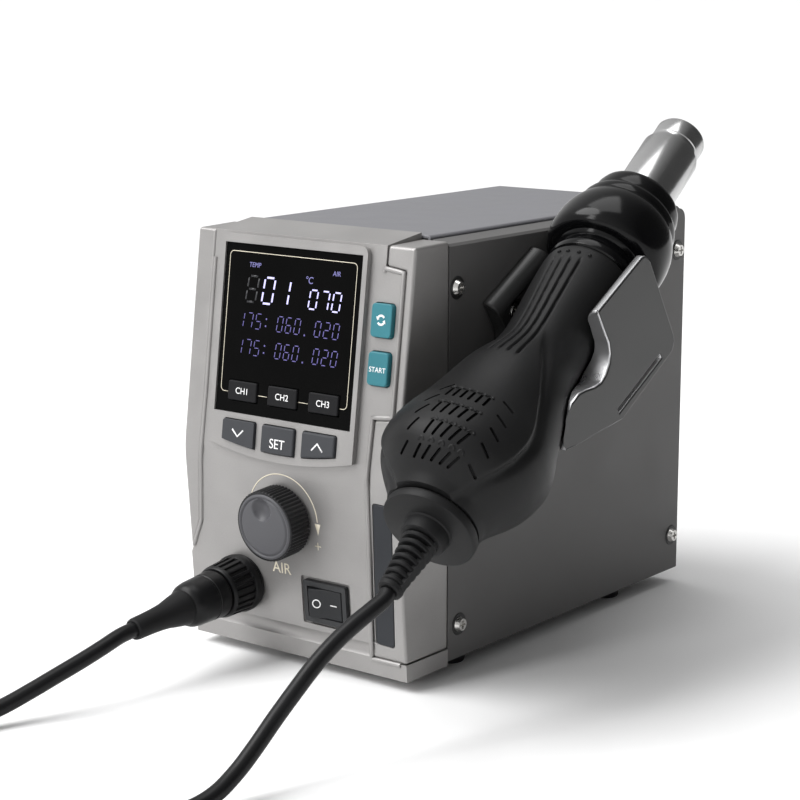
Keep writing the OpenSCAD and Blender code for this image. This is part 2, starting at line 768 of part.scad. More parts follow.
module gun_half() {
    inner = inset(gun_profile, shell_wall);
    outer = inset(gun_profile, 0);
    count = len(outer);
    rotate_extrude(angle = 180, $fn = 96)
        polygon(concat(outer, [for (i = [count - 1:-1:0]) inner[i]]));
}

module gun_shell_left() color([0.06, 0.06, 0.065]) along_gun() rotate(90) gun_half();
module gun_shell_right() color([0.06, 0.06, 0.065]) along_gun() rotate(-90) gun_half();

module gun_butt_cap() {
    color([0.08, 0.08, 0.085])
    along_gun() rotate_extrude($fn = 96)
        polygon([
            [3, cap_s], [15.8, cap_s], [16.5, cap_s + 0.7], [16.5, cap_s + 3.6], [14.4, cap_s + 4],
            [14.4, 0], [12.6, 0], [12.6, cap_s + 2.4], [3, cap_s + 2.4]
        ]);
}

module gun_strain_relief() {
    color([0.05, 0.05, 0.055])
    along_gun() {
        rotate_extrude($fn = 64)
            polygon([
                [0, -5], [4.4, -5], [4.4, cap_s + 2.45], [2.95, cap_s + 2.45], [2.95, cap_s - 0.05],
                [8, cap_s - 0.05], [7.6, cap_s - 3], [6.6, -14], [5.6, -16], [3.4, -36], [0, -36]
            ]);
        for (i = [0:6]) translate([0, 0, -16.5 - i * 2.8]) scale_ring(6.3 - i * 0.36);
    }
}

module scale_ring(r) rotate_extrude($fn = 48) translate([r - 1.2, 0]) circle(0.8, $fn = 16);

module clamp_ring()
    color([0.03, 0.03, 0.03])
    along_gun() rotate_extrude($fn = 96)
        polygon([
            [sleeve_r + 0.05, neck_s + 0.1], [16.4, neck_s + 0.1], [17.1, neck_s + 1], [17.1, neck_s + 4],
            [16.4, neck_s + 5], [16.4, collar_s - 1], [17, collar_s - 0.1],
            [sleeve_r + 0.05, collar_s - 0.1]
        ]);

module gun_collar()
    color([0.03, 0.03, 0.03])
    along_gun() rotate_extrude($fn = 96)
        polygon([
            [sleeve_r + 0.05, collar_s], [19.6, collar_s], [21.8, collar_s + 1.6],
            [22.5, collar_s + 4], [22.5, collar_s + 12],
            [21.2, collar_s + 16], [19.4, collar_s + 20], [18.6, collar_s + 23], [18.2, collar_s + 26],
            [17.2, collar_s + 28], [16.4, collar_s + 30], [16.2, collar_s + 34.4], [15, collar_end],
            [sleeve_r + 0.05, collar_end]
        ]);

module barrel() {
    color([0.75, 0.75, 0.76])
    along_gun() difference() {
        union() {
            translate([0, 0, 100]) cylinder(r = sleeve_r, h = seat_s - 99.5, $fn = 96);
            translate([0, 0, seat_s]) cylinder(r = barrel_r, h = shoulder_s - seat_s, $fn = 96);
            translate([0, 0, shoulder_s - 0.5])
                cylinder(r = tip_r, h = muzzle_s - shoulder_s + 0.5, $fn = 96);
        }
        translate([0, 0, 99]) cylinder(r = sleeve_r - 0.6, h = shoulder_s - 100, $fn = 96);
        translate([0, 0, 150]) cylinder(r = tip_r - 0.7, h = 60, $fn = 96);
    }
}

module mica_sleeve()
    color([0.7, 0.66, 0.55])
    along_gun(102) tube(8.9, 8.5, 84);

module heater_core() {
    color([0.9, 0.88, 0.82])
    along_gun(84) {
        cylinder(r = 5.6, h = 8.1);
        translate([0, 0, 8]) linear_extrude(90) {
            circle(2.2);
            for (turn = [0, 60, 120]) rotate(turn) square([16, 1.2], center = true);
        }
    }
}

module blower_motor() {
    color([0.5, 0.5, 0.5])
    along_gun() {
        translate([0, 0, motor_s]) cylinder(r = 12, h = 22);
        translate([0, 0, motor_s - 14]) cylinder(r = 1, h = 15);
        for (turn = [0:120:240]) rotate(turn) translate([-1.2, 11.5, motor_s + 4]) cube([2.4, 11.8, 3]);
    }
}

module impeller() {
    color([0.85, 0.85, 0.83])
    along_gun(fan_s) difference() {
        union() {
            cylinder(r = 18, h = 1.4);
            cylinder(r = 3.4, h = 11);
            for (i = [0:8]) rotate(i * 40) translate([3, -0.6, 1.3]) cube([14.6, 1.2, 8]);
        }
        translate([0, 0, 1.9]) cylinder(r = 1.05, h = 12);
    }
}

base_plate();
left_side_panel();
right_side_panel();
top_cover();
rear_panel();
front_bezel();
left_trim();
right_trim();
badge_plate();
display_frame();
display_glass();
display_module();
ch1_key();
ch2_key();
ch3_key();
down_key();
set_key();
up_key();
mode_key();
start_key();
key_board();
air_knob();
knob_pot();
pot_nut();
switch_frame();
power_rocker();
gun_socket();
socket_nut();
coupling_ring();
plug_body();
plug_sleeve();
cord_plug_leg();
cord_coil();
cord_gun_leg();
gun_holder();
holder_screws();
feet();
case_screws();
control_board();
power_module();
board_standoffs();
heat_sink();
mains_inlet();
inlet_screws();
gun_shell_left();
gun_shell_right();
gun_butt_cap();
gun_strain_relief();
clamp_ring();
gun_collar();
barrel();
heater_core();
mica_sleeve();
blower_motor();
impeller();
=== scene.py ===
"""Looks of a hot air rework station: its case and slanted display panel, the controls, the plugged-in
cable and the blower gun in its holder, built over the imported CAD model."""

import json
import math

import bmesh
import bpy
from mathutils import Matrix, Vector


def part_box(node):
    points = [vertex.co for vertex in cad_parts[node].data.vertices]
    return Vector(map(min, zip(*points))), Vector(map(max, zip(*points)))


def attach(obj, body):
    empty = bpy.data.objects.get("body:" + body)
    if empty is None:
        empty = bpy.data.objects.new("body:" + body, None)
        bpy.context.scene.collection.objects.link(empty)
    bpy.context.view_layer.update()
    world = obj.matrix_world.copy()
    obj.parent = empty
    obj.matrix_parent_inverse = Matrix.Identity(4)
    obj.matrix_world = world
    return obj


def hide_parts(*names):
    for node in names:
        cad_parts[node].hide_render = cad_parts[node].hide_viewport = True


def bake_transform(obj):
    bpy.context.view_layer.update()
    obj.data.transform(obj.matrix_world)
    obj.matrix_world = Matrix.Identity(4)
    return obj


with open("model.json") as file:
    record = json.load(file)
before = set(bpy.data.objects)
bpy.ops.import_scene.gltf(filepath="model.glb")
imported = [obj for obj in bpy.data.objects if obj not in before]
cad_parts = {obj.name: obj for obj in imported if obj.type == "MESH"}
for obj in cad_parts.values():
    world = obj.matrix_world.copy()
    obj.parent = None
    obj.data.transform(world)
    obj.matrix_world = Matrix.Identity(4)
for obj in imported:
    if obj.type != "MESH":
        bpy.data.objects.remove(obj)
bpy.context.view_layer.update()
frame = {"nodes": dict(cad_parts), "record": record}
NODES = frame["nodes"]

# ---------------------------------------------------------------- places, in millimetres of the station
MM = 0.001
LEFT_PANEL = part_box("left_side_panel")
RIGHT_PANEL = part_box("right_side_panel")
STATION_ORIGIN = Vector(((LEFT_PANEL[0].x + RIGHT_PANEL[1].x) / 2, RIGHT_PANEL[0].y, 0))
STATION = Matrix.Translation(STATION_ORIGIN) @ Matrix.Scale(MM, 4)
# The front's crease, and how far its two faces lean back from it, in degrees
KNEE = Vector((0, -29.2, 75.5))
UPPER_TILT = 7.4
LOWER_TILT = 4.6
# Where the gun's axis starts, how steeply it climbs and how far it turns towards the case, in degrees
GUN_BUTT = Vector((81, -46.6, 75))
GUN_RISE = 33
GUN_YAW = 4.5


def turned(degrees, axis):
    return Matrix.Rotation(math.radians(degrees), 4, axis)


def shifted(x, y, z=0.0):
    return Matrix.Translation((x, y, z))


def polar(radius, turn):
    return (radius * math.cos(turn), radius * math.sin(turn))


UPPER_FACE = STATION @ Matrix.Translation(KNEE) @ turned(90 - UPPER_TILT, "X")
LOWER_FACE = STATION @ Matrix.Translation(KNEE) @ turned(90 + LOWER_TILT, "X")
GUN = STATION @ Matrix.Translation(GUN_BUTT) @ turned(GUN_YAW, "Z") @ turned(GUN_RISE - 90, "X")


def on_lower(x, z, out=0.0):
    """A place on the lower front face at height z: local X across, Y up the slope, Z outwards."""
    return LOWER_FACE @ shifted(x, (z - KNEE.z) / math.cos(math.radians(LOWER_TILT)), out)


KNOB_PLACE = on_lower(-2.4, 55.3)
SWITCH_PLACE = on_lower(14.7, 26.5)
SOCKET_PLACE = on_lower(-24.4, 28)

# ---------------------------------------------------------------- camera
CAMERA_AZIMUTH = 37.98
CAMERA_ELEVATION = 11.39
camera = bpy.data.objects.new("camera", bpy.data.cameras.new("camera"))
bpy.context.scene.collection.objects.link(camera)
bpy.context.scene.camera = camera
camera.data.sensor_width = 36
camera.data.lens = 96.3
camera.location = STATION @ Vector((482.8, -582.5, 246.5))
camera.rotation_euler = (math.radians(90 - CAMERA_ELEVATION), 0, math.radians(CAMERA_AZIMUTH))


# ---------------------------------------------------------------- materials
def node_tree(name):
    material = bpy.data.materials.new(name)
    material.use_nodes = True
    tree = material.node_tree
    return material, tree.nodes, tree.links, tree.nodes["Principled BSDF"]


def noise(nodes, links, size_mm, detail=3.0):
    """Noise whose features are about size_mm across, in the object's own metres."""
    coordinates = nodes.new("ShaderNodeTexCoord")
    texture = nodes.new("ShaderNodeTexNoise")
    texture.inputs["Scale"].default_value = 1 / (size_mm * MM)
    texture.inputs["Detail"].default_value = detail
    links.new(coordinates.outputs["Object"], texture.inputs["Vector"])
    return texture.outputs["Fac"]


def remapped(nodes, links, value, low, high, start=0.3, end=0.7):
    ramp = nodes.new("ShaderNodeMapRange")
    ramp.inputs["From Min"].default_value = start
    ramp.inputs["From Max"].default_value = end
    ramp.inputs["To Min"].default_value = low
    ramp.inputs["To Max"].default_value = high
    links.new(value, ramp.inputs["Value"])
    return ramp.outputs["Result"]


def mixed(nodes, links, factor, first, second):
    mix = nodes.new("ShaderNodeMix")
    mix.data_type = "RGBA"
    mix.inputs["A"].default_value = (*first, 1)
    mix.inputs["B"].default_value = (*second, 1)
    links.new(factor, mix.inputs["Factor"])
    return mix.outputs["Result"]


def scaled(colour, factor):
    return tuple(min(1, c * factor) for c in colour)


def surface(name, colour, roughness, metallic=0.0, grain_mm=0.5, grain=0.15, mottle=0.12, shine=0.5):
    """A surface with a fine moulded or painted grain and slightly uneven colour and gloss."""
    material, nodes, links, bsdf = node_tree(name)
    bsdf.inputs["Metallic"].default_value = metallic
    bsdf.inputs["Specular IOR Level"].default_value = shine
    fine = noise(nodes, links, grain_mm)
    broad = noise(nodes, links, 22.0, 2.0)
    patches = remapped(nodes, links, broad, 0, 1)
    shade = mixed(nodes, links, patches, scaled(colour, 1 - mottle), scaled(colour, 1 + mottle))
    speckle = nodes.new("ShaderNodeMix")
    speckle.data_type = "RGBA"
    speckle.blend_type = "OVERLAY"
    speckle.inputs["Factor"].default_value = mottle
    links.new(shade, speckle.inputs["A"])
    links.new(fine, speckle.inputs["B"])
    links.new(speckle.outputs["Result"], bsdf.inputs["Base Color"])
    links.new(remapped(nodes, links, broad, roughness * 0.88, roughness * 1.12), bsdf.inputs["Roughness"])
    bump = nodes.new("ShaderNodeBump")
    bump.inputs["Strength"].default_value = grain
    bump.inputs["Distance"].default_value = grain_mm * MM * 0.4
    links.new(fine, bump.inputs["Height"])
    links.new(bump.outputs["Normal"], bsdf.inputs["Normal"])
    return material


# The lighter, smoother copy of each finish that goes on its rounded edges: a painted highlight along the
# edges
EDGE_HIGHLIGHT_COPY = {}


def finish(name, colour, roughness, highlight_gain=1.7, **look):
    # The copy's colour is raised by the given factor: a painted highlight for the rounded edges
    EDGE_HIGHLIGHT_COPY[name] = surface(name + "_rubbed", scaled(colour, highlight_gain), roughness * 0.85, **look)
    return surface(name, colour, roughness, **look)


def brushed(name, colour, roughness, stretch=(1, 1, 40), line_mm=0.25):
    """Polished or brushed metal: fine lines drawn out along one direction."""
    material, nodes, links, bsdf = node_tree(name)
    bsdf.inputs["Metallic"].default_value = 1.0
    bsdf.inputs["Base Color"].default_value = (*colour, 1)
    coordinates = nodes.new("ShaderNodeTexCoord")
    mapping = nodes.new("ShaderNodeMapping")
    mapping.inputs["Scale"].default_value = tuple(1 / s for s in stretch)
    lines = nodes.new("ShaderNodeTexNoise")
    lines.inputs["Scale"].default_value = 1 / (line_mm * MM)
    links.new(coordinates.outputs["Object"], mapping.inputs["Vector"])
    links.new(mapping.outputs["Vector"], lines.inputs["Vector"])
    uneven = remapped(nodes, links, lines.outputs["Fac"], roughness * 0.8, roughness * 1.25)
    links.new(uneven, bsdf.inputs["Roughness"])
    bump = nodes.new("ShaderNodeBump")
    bump.inputs["Strength"].default_value = 0.006
    bump.inputs["Distance"].default_value = 0.00003
    links.new(lines.outputs["Fac"], bump.inputs["Height"])
    links.new(bump.outputs["Normal"], bsdf.inputs["Normal"])
    return material


def glowing(name, colour, strength):
    """Lit display segments, a little uneven from one spot to the next."""
    material, nodes, links, bsdf = node_tree(name)
    bsdf.inputs["Base Color"].default_value = (0.01, 0.01, 0.012, 1)
    bsdf.inputs["Roughness"].default_value = 0.3
    glow = mixed(nodes, links, noise(nodes, links, 1.2), scaled(colour, 0.8), colour)
    links.new(glow, bsdf.inputs["Emission Color"])
    bsdf.inputs["Emission Strength"].default_value = strength
    return material


BEZEL = finish(
    "bezel_silver", (0.30, 0.292, 0.287), 0.4, metallic=0.5, grain_mm=0.35, grain=0.35, mottle=0.07,
)
CASE = finish("case_metal", (0.105, 0.103, 0.102), 0.45, grain_mm=0.3, grain=0.25, mottle=0.06, shine=0.3)
COVER = finish("cover_metal", (0.155, 0.155, 0.168), 0.42, grain_mm=0.3, grain=0.25, mottle=0.05, shine=0.4)
BADGE = finish("smoked_plate", (0.024, 0.026, 0.030), 0.3, grain_mm=0.2, grain=0.05, mottle=0.08, shine=0.2)
WINDOW = finish(
    "black_window", (0.0015, 0.0015, 0.0015), 0.08, grain_mm=3.0, grain=0.004, mottle=0.2, shine=0.05,
)
KEY_BLACK = finish("key_black", (0.009, 0.009, 0.010), 0.5, grain_mm=0.25, grain=0.2, mottle=0.1, shine=0.12)
KEY_GRAY = finish("key_gray", (0.040, 0.042, 0.047), 0.52, grain_mm=0.25, grain=0.25, mottle=0.08, shine=0.25)
KEY_TEAL = finish("key_teal", (0.026, 0.165, 0.20), 0.42, grain_mm=0.25, grain=0.15, mottle=0.06, shine=0.35)
BOARD = finish("circuit_board", (0.02, 0.14, 0.06), 0.45, grain_mm=0.8, grain=0.1)
KNOB_FACE = finish("knob_gray", (0.072, 0.072, 0.079), 0.4, grain_mm=0.25, grain=0.2, mottle=0.06, shine=0.35)
KNOB_SKIRT = finish("knob_skirt", (0.010, 0.010, 0.011), 0.4, grain_mm=0.25, grain=0.15, shine=0.3)
ZINC = brushed("zinc", (0.62, 0.61, 0.59), 0.24, stretch=(1, 1, 1), line_mm=0.6)
SWITCH = finish("switch_gray", (0.032, 0.033, 0.035), 0.45, grain_mm=0.25, grain=0.18, shine=0.25)
ROCKER = finish("rocker_black", (0.018, 0.019, 0.021), 0.38, grain_mm=0.25, grain=0.12, shine=0.25)
PLUG = finish("plug_black", (0.006, 0.006, 0.0065), 0.36, grain_mm=0.3, grain=0.12, shine=0.2)
RUBBER = finish("soft_rubber", (0.009, 0.009, 0.0095), 0.55, grain_mm=0.35, grain=0.25, shine=0.18)
CABLE = finish("cable_rubber", (0.006, 0.006, 0.0065), 0.38, grain_mm=0.4, grain=0.18, shine=0.2)
# Its rounded edges are made eight times lighter: a painted highlight
HOLDER = finish(
    "holder_aluminium", (0.045, 0.045, 0.045), 0.34, metallic=0.5, grain_mm=0.45, grain=0.15,
    mottle=0.06, highlight_gain=8,
)
# Bright bare metal for the holder's sawn faces, and also a painted highlight where those faces catch the
# light
HOLDER_CUT_HIGHLIGHT = surface(
    "holder_cut_edge_highlight", (0.55, 0.55, 0.56), 0.28, metallic=0.85, grain_mm=0.45, grain=0.1, mottle=0.05,
)
BRASS = brushed("brass", (0.72, 0.55, 0.25), 0.3)
INLET = finish("inlet_black", (0.012, 0.012, 0.012), 0.45)
GUN_BODY = finish(
    "gun_black", (0.0092, 0.0092, 0.0095), 0.46, grain_mm=0.3, grain=0.3, mottle=0.08, shine=0.18,
)
COLLAR = finish(
    "collar_black", (0.0025, 0.0025, 0.0028), 0.16, grain_mm=2.0, grain=0.01, mottle=0.1, shine=0.2,
)
STEEL = surface("barrel_steel", (0.52, 0.52, 0.52), 0.22, metallic=1.0, grain_mm=1.5, grain=0.01, mottle=0.04)
CERAMIC = finish("ceramic", (0.62, 0.58, 0.48), 0.7, grain_mm=0.6, grain=0.3)
MOULDED_WHITE = finish("impeller_white", (0.7, 0.7, 0.67), 0.45)
PRINT = surface("cream_print", (0.72, 0.66, 0.53), 0.5, grain=0.05)
WHITE_PRINT = surface("white_print", (0.85, 0.85, 0.85), 0.45, grain=0.05)
LIT = glowing("lit_bright", (0.62, 0.60, 1.0), 1.7)
LIT_LABEL = glowing("lit_label", (0.42, 0.40, 0.95), 0.7)
LIT_DIM = glowing("lit_dim", (0.30, 0.25, 0.85), 0.55)
UNLIT = surface("unlit_segments", (0.012, 0.012, 0.015), 0.3, grain=0.02)

SLOT_FINISH = {
    "bezel_silver": BEZEL, "case_metal": CASE, "cover_metal": COVER, "smoked_plate": BADGE,
    "black_window": WINDOW, "display_dark": KEY_BLACK, "key_black": KEY_BLACK, "key_gray": KEY_GRAY,
    "key_teal": KEY_TEAL, "circuit_board": BOARD, "knob_gray": KNOB_FACE, "zinc": ZINC,
    "switch_gray": SWITCH, "rocker_black": ROCKER, "plug_black": PLUG, "soft_rubber": RUBBER,
    "cable_rubber": CABLE, "holder_aluminium": HOLDER, "brass": BRASS, "inlet_black": INLET,
    "gun_black": GUN_BODY, "collar_black": COLLAR, "barrel_steel": STEEL, "ceramic": CERAMIC,
    "impeller_white": MOULDED_WHITE,
}
SLOT_OF = {part["node"]: part["material_slot"] for part in frame["record"]["subparts"]}
BODY_OF = {node: body for body, nodes in frame["record"]["behaviour"]["bodies"].items() for node in nodes}


# ---------------------------------------------------------------- mesh tools
def add_piece(name, mesh, material, body, replaces=()):
    piece = bpy.data.objects.new(name, mesh)
    bpy.context.scene.collection.objects.link(piece)
    mesh.materials.clear()
    mesh.materials.append(material)
    if body is not None:
        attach(piece, body)
    if replaces:
        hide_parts(*replaces)
    return piece


def join(name, meshes, material, body, replaces=()):
    """Makes one piece of several meshes, which are used up."""
    shape = bmesh.new()
    for mesh in meshes:
        shape.from_mesh(mesh)
        bpy.data.meshes.remove(mesh)
    joined = bpy.data.meshes.new(name)
    shape.to_mesh(joined)
    shape.free()
    add_piece(name, joined, material, body, replaces)


def smooth(mesh, angle=32):
    mesh.shade_smooth()
    mesh.set_sharp_from_angle(angle=math.radians(angle))


def mesh_from(name, verts, faces, place, angle=32):
    mesh = bpy.data.meshes.new(name)
    mesh.from_pydata([place @ Vector(v) for v in verts], [], faces)
    shape = bmesh.new()
    shape.from_mesh(mesh)
    bmesh.ops.recalc_face_normals(shape, faces=shape.faces)
    shape.to_mesh(mesh)
    shape.free()
    smooth(mesh, angle)
    return mesh


def bevelled(piece, width_mm, segments, whole):
    """Rounds the edges marked by their weight, and gives the rounding the finish's lighter copy, a painted
    highlight along each rounded edge.
    """
    bevel = piece.modifiers.new("edges", "BEVEL")
    bevel.width = width_mm * MM
    bevel.segments = segments
    bevel.use_clamp_overlap = not whole
    bevel.limit_method = "WEIGHT"
    edge_highlight = EDGE_HIGHLIGHT_COPY.get(piece.data.materials[0].name)
    if edge_highlight:
        piece.data.materials.append(edge_highlight)
        bevel.material = len(piece.data.materials) - 1
    flat = piece.modifiers.new("flat_faces", "WEIGHTED_NORMAL")
    flat.keep_sharp = True
    return piece


def softened(node, width_mm, material=None, segments=3, angle=30, whole=False, keeps=None):
    """The CAD node's own shape with its edges rounded off, but for those whose middle it keeps."""
    shape = bmesh.new()
    shape.from_mesh(NODES[node].data)
    bmesh.ops.remove_doubles(shape, verts=shape.verts, dist=0.00001)
    bmesh.ops.dissolve_limit(shape, angle_limit=math.radians(0.4), verts=shape.verts, edges=shape.edges)
    weight = shape.edges.layers.float.new("bevel_weight_edge")
    for edge in shape.edges:
        middle = (edge.verts[0].co + edge.verts[1].co) / 2
        if edge.calc_face_angle(0) > math.radians(angle) and not (keeps and keeps(middle)):
            edge[weight] = 1
    mesh = bpy.data.meshes.new(node + "_soft")
    shape.to_mesh(mesh)
    shape.free()
    smooth(mesh, 30)
    look = material or SLOT_FINISH[SLOT_OF[node]]
    piece = add_piece(node + "_soft", mesh, look, BODY_OF[node], (node,))
    return bevelled(piece, width_mm, segments, whole)


def ring_faces(rings, around, closed_ends=True):
    """The faces between rings of points that follow each other, with a cap on either end if asked for."""
    faces = []
    for i in range(rings - 1):
        low = i * around
        high = low + around
        for k in range(around):
            after = (k + 1) % around
            faces.append((low + k, low + after, high + after, high + k))
    if closed_ends:
        faces.append(tuple(range(around))[::-1])
        faces.append(tuple((rings - 1) * around + k for k in range(around)))
    return faces


def lathe(name, profile, place, around=96, wobble=None, angle=32):
    """Turns (radius, height) points about local Z. wobble(turn, height) adds to the radius."""
    verts = []
    for radius, height in profile:
        for k in range(around):
            turn = math.tau * k / around
            r = radius + (wobble(turn, height) if wobble else 0)
            verts.append((*polar(r, turn), height))
    return mesh_from(name, verts, ring_faces(len(profile), around), place, angle)


def prism(name, outline, low, high, place, angle=32):
    count = len(outline)
    verts = [(x, y, low) for x, y in outline] + [(x, y, high) for x, y in outline]
    return mesh_from(name, verts, ring_faces(2, count), place, angle)


def rounded_box(width, height, radius, steps=5):
    corners = [(1, 1, 0), (-1, 1, 90), (-1, -1, 180), (1, -1, 270)]
    return [
        (
            sx * (width / 2 - radius) + radius * math.cos(math.radians(start + 90 * i / steps)),
            sy * (height / 2 - radius) + radius * math.sin(math.radians(start + 90 * i / steps)),
        )
        for sx, sy, start in corners
        for i in range(steps + 1)
    ]


def strip(points, width, closed=False):
    """Quads along a line of points, width wide, in the local XY plane."""
    count = len(points)
    verts = []
    for i, point in enumerate(points):
        before = Vector(points[i - 1] if (i or closed) else points[0])
        after = Vector(points[(i + 1) % count] if (i < count - 1 or closed) else points[-1])
        along = (after - before).normalized()
        side = Vector((-along.y, along.x)) * width / 2
        verts += [(point[0] + side.x, point[1] + side.y), (point[0] - side.x, point[1] - side.y)]
    spans = count if closed else count - 1
    faces = [(2 * i, 2 * i + 1, (2 * i + 3) % (2 * count), (2 * i + 2) % (2 * count)) for i in range(spans)]
    return verts, faces


def flat_print(name, shapes, place, material, body, lift=0.04):
    """Flat printed or lit marks, each given as (points, faces), joined into one thin piece."""
    verts = []
    faces = []
    for points, polygons in shapes:
        start = len(verts)
        verts += [(x, y, lift) for x, y in points]
        faces += [tuple(start + i for i in polygon) for polygon in polygons]
    mesh = mesh_from(name, verts, faces, place)
    piece = add_piece(name, mesh, material, body)
    thickness = piece.modifiers.new("ink", "SOLIDIFY")
    thickness.thickness = 0.03 * MM
    return piece


# Height of the built-in font's capitals as a share of the font size
CAPITALS_IN_FONT_SIZE = 0.56


def label(name, text, size, place, material, body, stretch=1.0, slant=0.0):
    """A word in the built-in plain font, centred on its place, size millimetres high over its capitals."""
    curve = bpy.data.curves.new(name, "FONT")
    curve.body = text
    curve.size = size / CAPITALS_IN_FONT_SIZE
    curve.align_x = "CENTER"
    curve.align_y = "CENTER"
    curve.extrude = 0.03
    curve.shear = slant
    curve.materials.append(material)
    piece = bpy.data.objects.new(name, curve)
    bpy.context.scene.collection.objects.link(piece)
    piece.matrix_world = place @ Matrix.Diagonal((stretch, 1, 1, 1))
    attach(piece, body)
    return piece


# ---------------------------------------------------------------- cable
def through(points, steps):
    """A smooth line through the points."""
    padded = [2 * points[0] - points[1], *points, 2 * points[-1] - points[-2]]
    line = []
    for i in range(1, len(padded) - 2):
        a, b, c, d = padded[i - 1 : i + 3]
        for k in range(steps):
            t = k / steps
            square = (2 * a - 5 * b + 4 * c - d) * t**2
            cube = (3 * b - a - 3 * c + d) * t**3
            line.append(0.5 * (2 * b + (c - a) * t + square + cube))
    return [*line, points[-1]]


def sweep(name, line, radius, around=16):
    """A tube along the line, with its section carried along without twisting."""
    verts = []
    side = Vector((1, 0, 0))
    turns = [math.tau * k / around for k in range(around)]
    for i, point in enumerate(line):
        along = (line[min(i + 1, len(line) - 1)] - line[max(i - 1, 0)]).normalized()
        side = (side - along * side.dot(along)).normalized()
        other = along.cross(side)
        verts += [point + radius * (side * math.cos(turn) + other * math.sin(turn)) for turn in turns]
    return mesh_from(name, verts, ring_faces(len(line), around), Matrix.Identity(4), 60)


CABLE_DIAMETER = 0.0055
COIL_CENTRE = Vector((0.015, -0.224, 0))
COIL_OUTER = 0.03275
COIL_INNER = 0.02725
COIL_LAYERS = (0.00275, 0.00825)
# The cable's lay from the gun and from the plug to the coil, in metres of the station
GUN_LEG = [
    (0.0834, -0.07695, 0.0552), (0.0836, -0.0795, 0.0535), (0.0826, -0.084, 0.0512),
    (0.0806, -0.0898, 0.0478), (0.0782, -0.0967, 0.043), (0.0759, -0.1038, 0.037),
    (0.0738, -0.1109, 0.030), (0.072, -0.118, 0.023), (0.0706, -0.1259, 0.0155),
    (0.0694, -0.133, 0.0096), (0.0684, -0.141, 0.0052), (0.067, -0.150, 0.0031),
    (0.0645, -0.160, 0.00275), (0.061, -0.172, 0.00275), (0.0565, -0.185, 0.00275),
    (0.052, -0.198, 0.00275), (0.0488, -0.210, 0.00275),
]
PLUG_LEG = [
    (-0.0244, -0.0814, 0.0235), (-0.0244, -0.0885, 0.0228), (-0.025, -0.097, 0.0204),
    (-0.027, -0.105, 0.0174), (-0.030, -0.113, 0.014), (-0.0332, -0.1215, 0.0104),
    (-0.0366, -0.131, 0.0068), (-0.040, -0.142, 0.0042), (-0.0426, -0.153, 0.003),
    (-0.0436, -0.164, 0.00275), (-0.042, -0.176, 0.00275), (-0.0376, -0.188, 0.00275),
    (-0.031, -0.199, 0.0032), (-0.024, -0.209, 0.0048),
]
# Each lay of the coil: where its turn ends, in turns, and the radius and height it moves to there
COIL_LAYS = [(0, COIL_OUTER, 0), (1, COIL_INNER, 0), (2, COIL_INNER, 1), (3, COIL_OUTER, 1)]
COIL_TURNS = 3.5
COIL_STEPS = 48
# Points that the line is given between two of a leg's own
LEG_STEPS = 6


def ease(t):
    """Runs smoothly from 0 to 1 as t does."""
    t = min(1, max(0, t))
    return t * t * (3 - 2 * t)


def bell(x, width):
    """A smooth bump of height 1 around 0."""
    return math.exp(-((x / width) ** 2))


def coil_point(turns):
    """Clockwise seen from above, changing lay over the last sixth of each turn."""
    radius = COIL_OUTER
    height = COIL_LAYERS[0]
    for end, to_radius, to_layer in COIL_LAYS[1:]:
        part = ease((turns - end + 1 / 6) * 6)
        radius += (to_radius - radius) * part
        height += (COIL_LAYERS[to_layer] - height) * part
    angle = -math.tau * turns
    return COIL_CENTRE + Vector((radius * math.cos(angle), radius * math.sin(angle), height))


def cable():
    """One tube from the gun's strain relief, through the coil on the bench, to the plug."""
    coil = [coil_point(i / COIL_STEPS) for i in range(int(COIL_TURNS * COIL_STEPS) + 1)]
    gun_leg = [Vector(p) for p in GUN_LEG]
    plug_leg = [Vector(p) for p in reversed(PLUG_LEG)]
    first = through(gun_leg + coil[:3], LEG_STEPS)[: -LEG_STEPS * 2]
    last = through(coil[-3:] + plug_leg, LEG_STEPS)[LEG_STEPS * 2 :]
    line = [STATION_ORIGIN + p for p in first + coil[1:-1] + last]
    for point in line:
        point.z = max(point.z, CABLE_DIAMETER / 2)
    piece = add_piece("cable", sweep("cable", line, CABLE_DIAMETER / 2), CABLE, None)
    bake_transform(piece)
    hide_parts("cord_gun_leg", "cord_coil", "cord_plug_leg")


cable()


# ---------------------------------------------------------------- case and bezel
def beside_badge(point):
    """Whether a place is on the edge of the badge's shallow recess or of the side keys' windows."""
    place = STATION.inverted() @ point
    badge = 36.5 < place.x < 46.4 and 13 < place.z < 69.5
    windows = 33.5 < place.x < 43.8 and 105 < place.z < 138
    return badge or windows


def case():
    """The sheet-metal and moulded pieces of the case, with their edges rounded as each one is made."""
    for node in ("left_side_panel", "right_side_panel", "top_cover", "rear_panel", "base_plate"):
        softened(node, 0.35)
    softened("front_bezel", 0.5)
    softened("left_trim", 1.1, segments=4, whole=True)
    softened("right_trim", 1.1, segments=4, whole=True, keeps=beside_badge)
    softened("badge_plate", 0.3)
    softened("display_frame", 0.9)
    softened("display_glass", 0.12)
    softened("feet", 0.6)
    softened("mains_inlet", 0.5)


HALF_CASE = 49.5
SCREW_PLACES = ((4.5, 139), (6.5, 18), (151.5, 137), (152, 20))


def shade_rings_at_screws():
    """Dark rings under the case screws: painted shade for the recessed holes that the screws sit in."""
    profile = [(1.8, 0), (3.9, 0), (4.1, 0.1), (3.9, 0.3), (1.8, 0.3)]
    for side, side_name in ((-1, "left"), (1, "right")):
        for y, z in SCREW_PLACES:
            place = STATION @ shifted(side * HALF_CASE, y, z) @ turned(side * 90, "Y")
            # Each ring is dark: painted shade around the screw's head
            ring = lathe("screw_shade_ring", profile, place, 48)
            add_piece(f"screw_ring_{side_name}_{y:.0f}_{z}", ring, INLET, "station")


